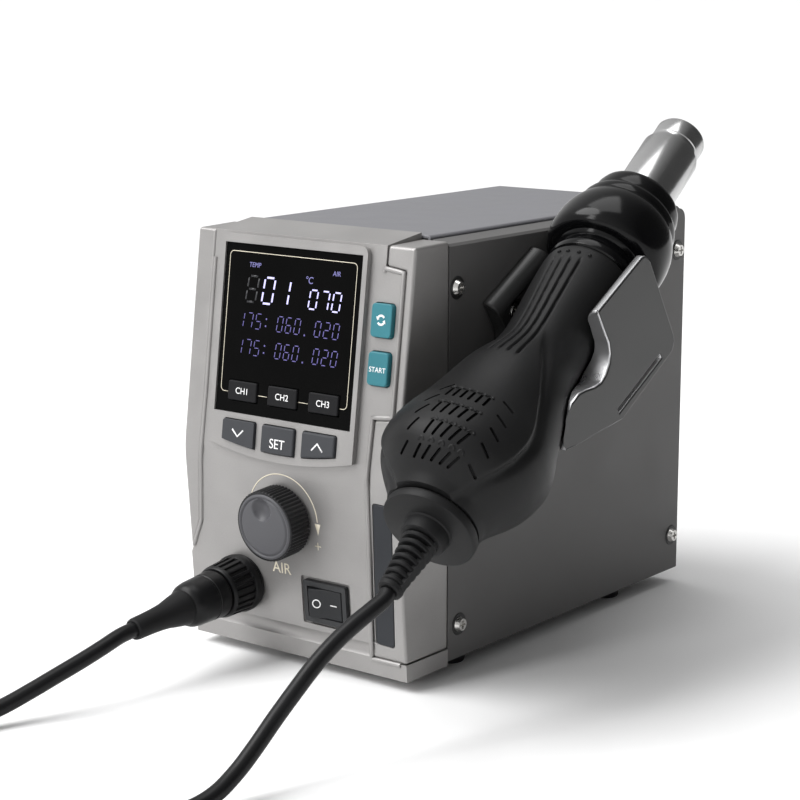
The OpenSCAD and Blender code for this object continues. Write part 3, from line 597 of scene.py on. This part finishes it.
def face_y(z):
    """How far forward the bezel's front stands at height z."""
    if z > KNEE.z:
        return KNEE.y + (z - KNEE.z) * math.tan(math.radians(UPPER_TILT))
    return KNEE.y + (KNEE.z - z) * math.tan(math.radians(LOWER_TILT))


def seam_lips():
    """The rounded lips where the front piece stands a little proud of the strips on either side."""
    seams = {
        "left": [(-40.3, 145), (-40.3, 96), (-40.7, 76), (-43.3, 48.2), (-48.6, 36.5)],
        "right": [
            (37.1, 146), (37.1, 147.3), (45.3, 146.3), (45.3, 97.6), (36.9, 96.7), (34.1, 9.8), (48.6, 9.8)
        ],
    }
    for side, corners in seams.items():
        line = []
        for (x0, z0), (x1, z1) in zip(corners, corners[1:]):
            count = max(2, int(math.hypot(x1 - x0, z1 - z0) / 1.5))
            for i in range(count):
                x = x0 + (x1 - x0) * i / count
                z = z0 + (z1 - z0) * i / count
                line.append(STATION @ Vector((x, face_y(z) + 0.2, z)))
        mesh = sweep("seam_lip_" + side, line, 0.9 * MM, 12)
        add_piece("seam_lip_" + side, mesh, BEZEL, "station")


case()
shade_rings_at_screws()
seam_lips()

# ---------------------------------------------------------------- display
# How far the window's front stands off the upper face
GLASS_TOP = 1.44
# The bars that each digit lights, a at the top and then clockwise, with g across the middle
SEGMENTS = {
    "0": "abcdef", "1": "bc", "2": "abged", "5": "afgcd", "6": "afgedc", "7": "abc", "8": "abcdefg",
}


def digit(value, x, y, width, height, stroke, slant=0.13):
    """The seven-segment bars of one digit, whose middle is at x, y."""
    half_w = width / 2
    half_h = height / 2
    ends = {
        "a": ((-half_w, half_h), (half_w, half_h)),
        "b": ((half_w, half_h), (half_w, 0)),
        "c": ((half_w, 0), (half_w, -half_h)),
        "d": ((-half_w, -half_h), (half_w, -half_h)),
        "e": ((-half_w, 0), (-half_w, -half_h)),
        "f": ((-half_w, half_h), (-half_w, 0)),
        "g": ((-half_w, 0), (half_w, 0)),
    }
    shapes = []
    for segment in SEGMENTS[value]:
        (x0, y0), (x1, y1) = ends[segment]
        start = Vector((x0, y0)).lerp(Vector((x1, y1)), 0.15)
        end = Vector((x1, y1)).lerp(Vector((x0, y0)), 0.15)
        points, faces = strip([start, end], stroke)
        shapes.append(([(x + px + slant * py, y + py) for px, py in points], faces))
    return shapes


def number(text, x, y, pitch, width, height, stroke):
    """The bars of several digits, the first of them at x, y."""
    bars = []
    for i, value in enumerate(text):
        bars += digit(value, x + i * pitch, y, width, height, stroke)
    return bars


def dot(x, y, size):
    left, right = x - size, x + size
    low, high = y - size, y + size
    return [(left, low), (right, low), (right, high), (left, high)], [(0, 1, 2, 3)]


def display_outline():
    """The thin cream frame line, broken where the channel keys stand in it."""
    left, right = -31.9, 26.4
    bottom, top = 22.8, 73.1
    radius = 1.6
    width = 0.22
    corners = rounded_box(right - left, top - bottom, radius)
    line = [(x + (left + right) / 2, y + (top + bottom) / 2) for x, y in corners]
    shapes = [strip([(23.4, bottom), *upper_run(line, bottom), (-28.4, bottom)], width)]
    for start, end in ((-14.1, -9.9), (4.7, 9.1)):
        shapes.append(strip([(start, bottom), (end, bottom)], width))
    return shapes


def upper_run(line, bottom):
    """The outline's points from its lower right corner round the top to its lower left corner."""
    count = len(line)
    first = min(range(count), key=lambda i: (abs(line[i][1] - bottom) > 0.01, -line[i][0]))
    return [line[(first + i) % count] for i in range(count)]


DISPLAY_WORDS = (
    ("temp", "TEMP", -19.9, 68.7, 1.35), ("air", "AIR", 17.6, 68.7, 1.35), ("degree", "°C", 5.5, 65.4, 1.9),
)


def display():
    """What shows in the window: bright, dim and unlit digits, the outline and the lit words."""
    place = UPPER_FACE @ shifted(0, 0, GLASS_TOP)
    bright = number("01", -12.8, 60.2, 7.2, 4.7, 9.2, 0.72) + number("070", 7.9, 59.0, 5.25, 3.4, 6.6, 0.55)
    flat_print("display_bright_digits", bright, place, LIT, "station")
    dim = []
    for y in (49.0, 39.5):
        dim += number("175", -24.6, y, 4.05, 2.5, 5.4, 0.3)
        dim += number("060", -6.4, y, 4.0, 2.4, 5.4, 0.32)
        dim += number("020", 10.9, y, 4.1, 2.4, 5.4, 0.34)
        dim += [dot(-12.8, y + 1.2, 0.3), dot(-13.0, y - 1.3, 0.3), dot(5.1, y - 2.7, 0.3)]
    flat_print("display_dim_digits", dim, place, LIT_DIM, "station")
    ghosts = number("8", -20.4, 60.2, 5, 4.7, 9.2, 0.72)
    flat_print("display_unlit_digits", ghosts, place, UNLIT, "station", lift=0.02)
    flat_print("display_outline", display_outline(), place, PRINT, "station")
    for name, text, x, y, size in DISPLAY_WORDS:
        spot = place @ shifted(x, y, 0.05)
        label("display_" + name, text, size, spot, LIT_LABEL, "station", 0.95, 0.1)


display()

# ---------------------------------------------------------------- keys
# Middles of the channel keys, of the keys below the display and of the two side keys, across the face
CHANNEL_X = (-21.2, -2.5, 16.3)
SOFT_X = (-21, -2.5, 16)
SIDE_KEY_X = 38.6


def cycle_icon():
    """Two curved arrows that follow each other."""
    shapes = []
    for turn in (35, 215):
        arc = [polar(1.55, math.radians(turn + a)) for a in range(0, 121, 12)]
        shapes.append(strip(arc, 0.75))
        tip = math.radians(turn + 150)
        base = math.radians(turn + 115)
        shapes.append(([polar(0.75, base), polar(2.45, base), polar(1.6, tip)], [(0, 1, 2)]))
    return shapes


def keys():
    """The eight keys with their marks, each mark on its own key's body."""
    for i, x in enumerate(CHANNEL_X, 1):
        softened(f"ch{i}_key", 0.45)
        spot = UPPER_FACE @ shifted(x, 23.5, 2.22)
        label(f"ch{i}_label", f"CH{i}", 1.8, spot, WHITE_PRINT, f"ch{i}_key")
    for node in ("down_key", "set_key", "up_key"):
        softened(node, 0.7)
    place = UPPER_FACE @ shifted(0, 0, 3.2)
    spot = place @ shifted(SOFT_X[1] + 0.2, 6.9, 0.02)
    label("set_label", "SET", 2.7, spot, WHITE_PRINT, "set_key", 0.95)
    down = strip([(-2.6, 1.25), (0, -1.2), (2.6, 1.25)], 0.62)
    flat_print("down_mark", [down], place @ shifted(SOFT_X[0], 8.6), WHITE_PRINT, "down_key")
    up = strip([(-2.5, -1.3), (0, 1.3), (2.5, -1.3)], 0.62)
    flat_print("up_mark", [up], place @ shifted(SOFT_X[2], 8.4), WHITE_PRINT, "up_key")
    softened("mode_key", 0.9)
    softened("start_key", 0.9)
    side = UPPER_FACE @ shifted(SIDE_KEY_X, 0, 1.8)
    flat_print("cycle_mark", cycle_icon(), side @ shifted(0, 54.9), WHITE_PRINT, "mode_key")
    spot = side @ shifted(0, 37.9, 0.02)
    label("start_label", "START", 1.4, spot, WHITE_PRINT, "start_key", 0.98)


keys()


# ---------------------------------------------------------------- knob, switch and plug
KNOB_RIBS = 54
CAP_RADIUS = 12.0
CAP_TOP = 11.3
# Middle, radius and depth of the finger dimple in the cap
DIMPLE_AT = (-0.5, 6.3)
DIMPLE_RADIUS = 4.2
DIMPLE_DEPTH = 2.3


def knob_skirt():
    """The black skirt with its fine ribs."""

    def rib(turn, height):
        return -0.5 * (1 - abs(math.sin(turn * KNOB_RIBS / 2))) ** 0.8 if 0.9 < height < 10.3 else 0.0

    skirt = [
        (6.9, 0.7), (12.2, 0.7), (12.9, 1.3), (12.9, 10.25), (12.5, 10.8), (CAP_RADIUS, 10.9),
        (CAP_RADIUS, 9.0), (6.9, 9.0),
    ]
    mesh = lathe("knob_skirt", skirt, KNOB_PLACE, KNOB_RIBS * 8, rib, 25)
    add_piece("knob_skirt", mesh, KNOB_SKIRT, "air_knob", ("air_knob",))


def knob_cap():
    """The gray cap that is set into the skirt, with a groove near its rim and a finger dimple."""
    rings = 44
    around = 120
    verts = []
    for i in range(rings + 1):
        radius = CAP_RADIUS * i / rings
        for k in range(around):
            x, y = polar(radius, math.tau * k / around)
            groove = 0.6 * bell(radius - 10.5, 0.3)
            rim = 0.5 * ease((radius - 11.3) / 0.7)
            away = math.hypot(x - DIMPLE_AT[0], y - DIMPLE_AT[1]) / DIMPLE_RADIUS
            dimple = DIMPLE_DEPTH * max(0, 1 - away**2) ** 0.7
            verts.append((x, y, CAP_TOP - groove - rim - dimple))
    mesh = mesh_from("knob_cap", verts, ring_faces(rings + 1, around, closed_ends=False), KNOB_PLACE, 60)
    cap = add_piece("knob_cap", mesh, KNOB_FACE, "air_knob")
    thickness = cap.modifiers.new("cap", "SOLIDIFY")
    thickness.thickness = 1.2 * MM
    thickness.offset = -1


def knob_scale():
    """The cream arc that swells towards its arrowhead, with a plus sign and the word below."""
    radius = 15.9
    centre = Vector((-0.6, 0.4))
    arc = [centre + radius * Vector(polar(1, math.radians(a))) for a in range(158, -2, -4)]
    shapes = [strip(arc, 0.42)]
    tip = centre + Vector((radius, 0))
    shapes.append(([(tip.x - 1.3, tip.y), (tip.x + 1.3, tip.y), (tip.x, tip.y - 4.2)], [(0, 1, 2)]))
    plus = Vector((14.9, -7.9))
    shapes.append(strip([plus - Vector((1.4, 0)), plus + Vector((1.4, 0))], 0.36))
    shapes.append(strip([plus - Vector((0, 1.4)), plus + Vector((0, 1.4))], 0.36))
    flat_print("knob_scale", shapes, KNOB_PLACE, PRINT, "station")
    spot = KNOB_PLACE @ shifted(-2.9, -19.2, 0.04)
    label("air_label", "AIR", 3.2, spot, PRINT, "station")


# The rocker's lean from its middle place as it stands, in degrees, and the width of its marks' lines
ROCKER_LEAN = 9
MARK_LINE = 0.42


def power_switch():
    """The switch's frame and its rocker, with a circle and a dash on the rocker's two sloping halves."""
    softened("switch_frame", 0.5)
    softened("power_rocker", 0.5)
    tilt = SWITCH_PLACE @ shifted(0, 0, -2.2) @ turned(ROCKER_LEAN, "Y")
    slope = math.degrees(math.atan2(1.0, 6.4))
    steps = 28
    circle = strip([polar(1.45, math.tau * i / steps) for i in range(steps)], MARK_LINE, closed=True)
    off = tilt @ shifted(-3.6, 0, 3.5) @ turned(slope, "Y")
    flat_print("off_mark", [circle], off, WHITE_PRINT, "power_rocker")
    dash = strip([(-1.5, 0), (1.5, 0)], MARK_LINE)
    on = tilt @ shifted(3.4, 0, 3.47) @ turned(-slope, "Y")
    flat_print("on_mark", [dash], on, WHITE_PRINT, "power_rocker")


def plug():
    """The ribbed coupling ring, the plug behind it and its long soft sleeve."""
    ribs = 22

    def rib(turn, height):
        if not 4.6 < height < 13.4:
            return 0.0
        return -0.75 * (0.5 + 0.5 * math.tanh(5 * math.cos(turn * ribs)))

    ring = [
        (8.06, 1.5), (10.2, 1.5), (10.7, 2.0), (10.7, 3.9), (10.3, 4.5), (10.25, 4.7), (10.0, 8.5),
        (9.8, 12.2), (9.75, 13.3), (9.7, 13.5), (9.5, 14.3), (9.0, 14.8), (7.3, 14.8), (7.3, 10.7),
        (8.06, 10.7),
    ]
    mesh = lathe("plug_ring", ring, SOCKET_PLACE, ribs * 10, rib, 35)
    add_piece("plug_ring", mesh, PLUG, "coupling_ring", ("coupling_ring",))
    body = [
        (6.4, 0.6), (6.4, 10), (7.15, 10.2), (7.15, 15.4), (8.4, 15.4), (8.7, 15.8), (8.75, 17), (8.55, 20.6),
        (8.3, 20.9), (8.3, 21.4), (8.5, 21.7), (8.3, 27.5), (7.9, 29.8), (7.2, 31.2), (6.2, 31.9),
    ]
    mesh = lathe("plug_shell", body, SOCKET_PLACE)
    add_piece("plug_shell", mesh, PLUG, "station", ("plug_body",))
    sleeve = [
        (5.0, 31.0), (6.3, 31.6), (6.45, 32.4), (6.2, 33.6), (5.9, 35.4), (5.3, 38.4), (4.75, 41),
        (4.45, 43.5), (4.2, 47), (4.05, 51), (3.95, 55.6), (3.75, 56.6), (3.3, 57), (2.6, 57),
    ]
    mesh = lathe("plug_tail", sleeve, SOCKET_PLACE, 64)
    add_piece("plug_tail", mesh, RUBBER, "station", ("plug_sleeve",))
    softened("gun_socket", 0.25, PLUG)


knob_skirt()
knob_cap()
knob_scale()
power_switch()
plug()

# ---------------------------------------------------------------- gun
# Along the gun: distance, radius, and how far the section is raised above the barrel's line
HANDLE = [
    (-5.0, 16.6, 0.6), (-2, 17.6, 2.2), (1, 19.8, 4.0), (4, 22.2, 4.9), (8, 24.7, 4.9), (12, 26.3, 4.0),
    (17, 27.3, 2.8), (22, 27.5, 1.4), (27, 27.2, 0.2), (32, 25.9, -0.2), (37, 24.3, 0.0),
    (42, 22.8, 0.4), (47, 21.5, 0.8), (52, 20.4, 0.9), (57, 19.3, 0.8), (62, 17.9, 0.5),
    (67, 16.5, 0.2), (72, 15.6, 0.0), (77, 15.2, 0.0), (84, 15.4, 0.0), (90, 15.9, 0.0),
    (97, 16.4, 0.0), (105, 16.9, 0.0), (112, 17.1, 0.0), (115, 16.9, 0.0), (116, 16.2, 0.0),
]
# Which way round the handle the raised pad faces, in degrees
PAD_CENTRE = 5
# How far round from its middle the raised pad reaches, in degrees, by distance along the gun
PAD_EDGE = [
    (-5, 36), (-2, 45), (2, 53), (7, 60), (14, 62), (22, 61), (35, 57), (45, 53), (54, 45), (67, 29),
    (80, 14),
]
NECK_GROOVES = 4


def interpolated(table, s, column=1):
    """A table's value at s, on straight lines between its rows."""
    if s <= table[0][0]:
        return table[0][column]
    for low, high in zip(table, table[1:]):
        if s <= high[0]:
            return low[column] + (high[column] - low[column]) * (s - low[0]) / (high[0] - low[0])
    return table[-1][column]


def smoothed(table, s, column, reach=2.5):
    """A table's value averaged over a short stretch, so that no kink shows between its points."""
    return sum(interpolated(table, s + reach * k / 2, column) for k in (-2, -1, 0, 1, 2)) / 5


def handle_relief(s, angle, radius):
    """What stands out of the smooth handle: the pad on the upper side and the grooves along the neck."""
    off_centre = (angle - PAD_CENTRE + 180) % 360 - 180
    arc = math.radians(1) * radius
    inside = (interpolated(PAD_EDGE, s) - abs(off_centre)) * arc
    fade = 1 - ease((s - 52) / 26)
    pad = 0.9 * ease((inside + 0.8) / 1.6) - 0.9 * bell(inside + 1.8, 2.0) * (1 - ease(inside / 1.5))
    groove = 0.0
    along = (s - 55) / 55
    if 0 < along < 1:
        fade_ends = ease((s - 55) / 2) * ease((110 - s) / 2)
        for i in range(NECK_GROOVES):
            centre = -10 + 10 * i + (2.3 * i - 11) * along
            groove += bell((off_centre + PAD_CENTRE - centre) * arc, 0.42) * 0.8 * fade_ends
    return pad * fade - groove


def handle_point(s, angle, lift=0.0):
    """A place on the handle's skin at distance s along the gun, angle degrees round from its top."""
    radius = smoothed(HANDLE, s, 1) if 0 < s < 108 else interpolated(HANDLE, s)
    rise = smoothed(HANDLE, s, 2)
    r = radius + handle_relief(s, angle, radius) + lift
    turn = math.radians(angle)
    return Vector((r * math.sin(turn), -rise - r * math.cos(turn), s))


# Each row of air slots: distance along the gun, how far its slots lean, and the angle of each
SLOT_ROWS = [
    (1.8, 26, (-3, 6, 15, 24, 32)), (8.5, 18, (3, 10, 17, 24, 31)), (17.0, 8, (0, 6.5, 13, 19.5, 26)),
    (26.5, 0, (-2, 3.5, 9, 14.5, 20, 25.5)),
]
SIDE_SLOTS = [(2.5, -17, 50), (9, -11, 48), (15.5, -10, 45), (22, -10, 42), (29.5, -8, 39)]


def slot_cutters():
    """One slim round-ended block for each air slot, sunk square into the handle's skin."""
    outline = rounded_box(1.0, 5.6, 0.49, 4)
    verts = []
    faces = []

    def add(s, angle, slant):
        centre = handle_point(s, angle)
        along = (handle_point(s + 1, angle) - handle_point(s - 1, angle)).normalized()
        around = (handle_point(s, angle + 2) - handle_point(s, angle - 2)).normalized()
        out = around.cross(along).normalized()
        if out.dot(centre - Vector((0, 0, s))) < 0:
            out = -out
        way = (along * math.cos(math.radians(slant)) + around * math.sin(math.radians(slant))).normalized()
        side = way.cross(out)
        start = len(verts)
        for depth in (-1.6, 1.2):
            verts.extend(centre + side * x + way * y + out * depth for x, y in outline)
        faces.extend(tuple(start + i for i in face) for face in ring_faces(2, len(outline)))

    for s, lean, angles in SLOT_ROWS:
        for angle in angles:
            add(s, angle, lean)
    for s, left, right in SIDE_SLOTS:
        add(s, left, 38)
        add(s, right, -62)
    return mesh_from("slot_cutters", verts, faces, GUN)


def slot_hoods():
    """The small raised lip over the upper end of each straight slot."""
    verts = []
    faces = []
    steps = 8
    for s, lean, angles in SLOT_ROWS:
        for angle in angles:
            start = len(verts)
            top = 2.7 * math.cos(math.radians(lean))
            sideways = 2.7 * math.sin(math.radians(lean))
            for i in range(steps + 1):
                turn = math.pi * i / steps
                for reach, lift in ((0.55, 0.0), (1.0, 0.45), (1.7, -0.2)):
                    across = math.degrees((reach * math.cos(turn) + sideways) / 26)
                    verts.append(handle_point(s + top + reach * math.sin(turn), angle + across, lift))
            for i in range(steps):
                for k in range(2):
                    a = start + 3 * i + k
                    faces.append((a, a + 1, a + 4, a + 3))
    return mesh_from("slot_hoods", verts, faces, GUN, 180)


HANDLE_START = -5
HANDLE_LENGTH = 121
HANDLE_STEPS = 150
HANDLE_AROUND = 400


def carved(piece, cutters):
    """Cuts the cutters out of the piece for good and removes them."""
    cut = piece.modifiers.new("slots", "BOOLEAN")
    cut.object = cutters
    cut.operation = "DIFFERENCE"
    cut.solver = "EXACT"
    bpy.context.view_layer.update()
    mesh = bpy.data.meshes.new_from_object(piece.evaluated_get(bpy.context.evaluated_depsgraph_get()))
    piece.modifiers.clear()
    piece.data = mesh
    bpy.data.objects.remove(cutters)
    smooth(mesh, 40)


def handle():
    """The moulded handle with its pad, grooves and air slots."""
    stations = [HANDLE_START + HANDLE_LENGTH * i / HANDLE_STEPS for i in range(HANDLE_STEPS + 1)]
    verts = [handle_point(s, 360 * k / HANDLE_AROUND) for s in stations for k in range(HANDLE_AROUND)]
    mesh = mesh_from("gun_handle", verts, ring_faces(len(stations), HANDLE_AROUND), GUN, 50)
    piece = add_piece("gun_handle", mesh, GUN_BODY, "gun", ("gun_shell_left", "gun_shell_right"))
    carved(piece, add_piece("slot_cutters", slot_cutters(), GUN_BODY, "gun"))
    add_piece("slot_hoods", slot_hoods(), GUN_BODY, "gun")


def neck_dots():
    """The row of small domes across the end of the neck."""
    dome = [(0.02, 1), (0.5, 0.87), (0.87, 0.5), (1, 0), (0.87, -0.5)]
    dots = []
    for angle in (-17, -4.5, 9.6, 23.6):
        place = GUN @ Matrix.Translation(handle_point(111.8, angle)) @ Matrix.Scale(0.75, 4)
        dots.append(lathe("neck_dot", dome, place, 14, angle=80))
    join("neck_dots", dots, GUN_BODY, "gun")


def butt():
    """The round disc that closes the handle's lower end."""
    disc = [
        (3.0, -9), (15.6, -9), (16.2, -8.8), (16.5, -8.2), (16.5, -5.9), (16.1, -5.4), (14.4, -5.2),
        (3.0, -5.2),
    ]
    mesh = lathe("gun_butt_disc", disc, GUN)
    add_piece("gun_butt_disc", mesh, GUN_BODY, "gun", ("gun_butt_cap",))


def strain_relief():
    """A soft tapered boot: a plain boss, then ribs that are held together by a rail on either side."""
    meshes = []
    boss = [(3.0, -8.9), (8.6, -8.9), (8.0, -9.5), (7.8, -12.6), (7.4, -13.6), (6.4, -14.0), (3.0, -14.0)]
    meshes.append(lathe("boss", boss, GUN, 72))
    core = [(2.8, -13), (4.0, -13), (2.95, -36), (2.5, -36)]
    meshes.append(lathe("core", core, GUN, 48))
    ribs = 7
    for i in range(ribs):
        top = -14.6 - 2.9 * i
        r = 6.2 - 0.33 * i
        low = top - 1.5
        rib = [
            (2.8, top), (r - 0.35, top), (r, top - 0.35), (r - 0.05, top - 1.15), (r - 0.4, low),
            (2.8, low),
        ]
        meshes.append(lathe("rib", rib, GUN, 56))
    end = [(2.5, -33.9), (4.2, -33.9), (4.4, -34.3), (4.1, -35.6), (3.6, -36), (2.5, -36)]
    meshes.append(lathe("end", end, GUN, 48))
    for side in (-1, 1):
        outline = [(side * 2.8, -13.5), (side * 6.1, -13.5), (side * 4.1, -34.6), (side * 2.8, -34.6)]
        meshes.append(prism("rail", outline, -1.3, 1.3, GUN @ turned(90, "X")))
    join("gun_boot", meshes, RUBBER, "gun", ("gun_strain_relief",))


def collar():
    """The clamp ring at the end of the neck and the glossy two-step collar above it."""
    clamp = [
        (11.1, 116.1), (16.2, 116.1), (16.9, 116.6), (17.1, 117.6), (17.1, 119.3), (16.6, 120.6),
        (15.8, 121.2), (15.7, 123.6), (16.6, 124.2), (17.0, 124.8), (11.1, 124.8),
    ]
    mesh = lathe("gun_clamp_ring", clamp, GUN, 128)
    add_piece("gun_clamp_ring", mesh, COLLAR, "gun", ("clamp_ring",))
    shell = [
        (11.1, 125.0), (18.6, 125.0), (19.8, 125.3), (21.2, 126.6), (22.0, 128.3), (22.4, 130.5),
        (22.5, 133), (22.4, 136), (21.9, 139.3), (21.1, 142), (20.2, 144.3), (19.5, 145.6),
        (19.1, 146.0), (18.9, 146.6), (19.0, 147.2), (18.9, 149.2), (18.4, 150.6), (17.4, 151.6),
        (16.9, 152.0), (16.7, 152.8), (16.8, 153.6), (16.6, 157.2), (16.1, 158.9), (15.2, 159.8),
        (13.6, 160), (11.1, 160),
    ]
    mesh = lathe("gun_collar_shell", shell, GUN, 128)
    add_piece("gun_collar_shell", mesh, COLLAR, "gun", ("gun_collar",))


def steel_barrel():
    """The barrel from inside the collar to its stepped tip, and back down its bore."""
    tube = [
        (10.2, 100), (10.7, 100), (10.7, 160.8), (11, 161), (11, 188.9), (10.8, 189.3), (10.3, 189.5),
        (9.9, 189.7), (9.7, 190.1), (9.7, 191.6), (9.45, 191.9), (9.45, 192.3), (9.7, 192.6),
        (9.7, 199.3), (9.5, 199.8), (9.25, 200), (9.0, 199.6), (9.0, 188.5), (10.1, 188.3),
    ]
    mesh = lathe("hot_air_barrel", tube, GUN, 128, angle=28)
    add_piece("hot_air_barrel", mesh, STEEL, "gun", ("barrel",))


def beside_gun(point):
    """Whether a place is on the edge of the hollow that clears the gun."""
    place = GUN.inverted() @ point
    return math.hypot(place.x, place.y) < interpolated(HANDLE, place.z) + 2.5


def holder():
    """Dark satin aluminium whose sawn faces on the outer wall are made bright: partly bare cut metal, partly
    a painted highlight where they catch the light.
    """
    piece = softened("gun_holder", 0.8, segments=4, angle=25, whole=True, keeps=beside_gun)
    piece.data.materials.append(HOLDER_CUT_HIGHLIGHT)
    cut_highlight_slot = len(piece.data.materials) - 1
    outer_wall = (STATION @ Vector((91, 0, 0))).x
    # Only the outer wall's sawn faces get the bright metal: partly bare cut metal, partly a painted highlight
    for face in piece.data.polygons:
        if face.center.x > outer_wall and abs(face.normal.x) < 0.5 and face.normal.y < 0.2:
            face.material_index = cut_highlight_slot


handle()
neck_dots()
butt()
strain_relief()
collar()
steel_barrel()
holder()

# ---------------------------------------------------------------- everything else keeps its CAD shape
for node, piece in NODES.items():
    piece.data.materials.clear()
    piece.data.materials.append(SLOT_FINISH[SLOT_OF[node]])


# ---------------------------------------------------------------- stage and light
def stage():
    """A wide pale floor for the shadow and the light that it throws back."""
    floor_mesh = bpy.data.meshes.new("floor")
    floor_mesh.from_pydata([(-40, -40, 0), (40, -40, 0), (40, 40, 0), (-40, 40, 0)], [], [(0, 1, 2, 3)])
    floor = bpy.data.objects.new("floor", floor_mesh)
    bpy.context.scene.collection.objects.link(floor)
    floor_mesh.materials.append(surface("pale_floor", (0.93, 0.93, 0.93), 0.75, grain=0.02, mottle=0.0))


def area_light(name, place, target, size, power):
    light = bpy.data.lights.new(name, "AREA")
    light.shape = "RECTANGLE"
    light.size, light.size_y = size
    light.energy = power
    lamp = bpy.data.objects.new(name, light)
    bpy.context.scene.collection.objects.link(lamp)
    lamp.location = place
    lamp.rotation_euler = (Vector(place) - Vector(target)).to_track_quat("Z", "Y").to_euler()


def sun(name, direction, strength, softness):
    light = bpy.data.lights.new(name, "SUN")
    light.energy = strength
    light.angle = math.radians(softness)
    lamp = bpy.data.objects.new(name, light)
    bpy.context.scene.collection.objects.link(lamp)
    lamp.rotation_euler = Vector(direction).to_track_quat("Z", "Y").to_euler()


# The side the reflections are darkest on
DARK_SIDE = (0.79, 0.61, 0)


def sky():
    """A white studio that the camera sees as plain white, with a darker right side for the reflections."""
    world = bpy.data.worlds.new("studio")
    bpy.context.scene.world = world
    world.use_nodes = True
    nodes = world.node_tree.nodes
    links = world.node_tree.links
    background = nodes["Background"]
    background.inputs["Color"].default_value = (1, 1, 1, 1)
    coordinates = nodes.new("ShaderNodeTexCoord")
    towards_right = nodes.new("ShaderNodeVectorMath")
    towards_right.operation = "DOT_PRODUCT"
    towards_right.inputs[1].default_value = DARK_SIDE
    links.new(coordinates.outputs["Generated"], towards_right.inputs[0])
    side = remapped(nodes, links, towards_right.outputs["Value"], 0.88, 0.08, -0.5, 0.7)
    seen = nodes.new("ShaderNodeLightPath")
    choose = nodes.new("ShaderNodeMix")
    choose.data_type = "FLOAT"
    choose.inputs["B"].default_value = 1.0
    links.new(seen.outputs["Is Camera Ray"], choose.inputs["Factor"])
    links.new(side, choose.inputs["A"])
    links.new(choose.outputs["Result"], background.inputs["Strength"])


stage()
sky()
sun("key_sun", (-0.55, -0.55, 1.0), 2.45, 40)
area_light("front_strip", (-0.35, -1.3, 0.75), (0.02, 0, 0.1), (0.25, 0.9), 5)
area_light("top", (-0.1, 0.1, 1.2), (0, 0, 0.1), (0.7, 0.7), 4)
bpy.context.scene.view_settings.view_transform = "Standard"
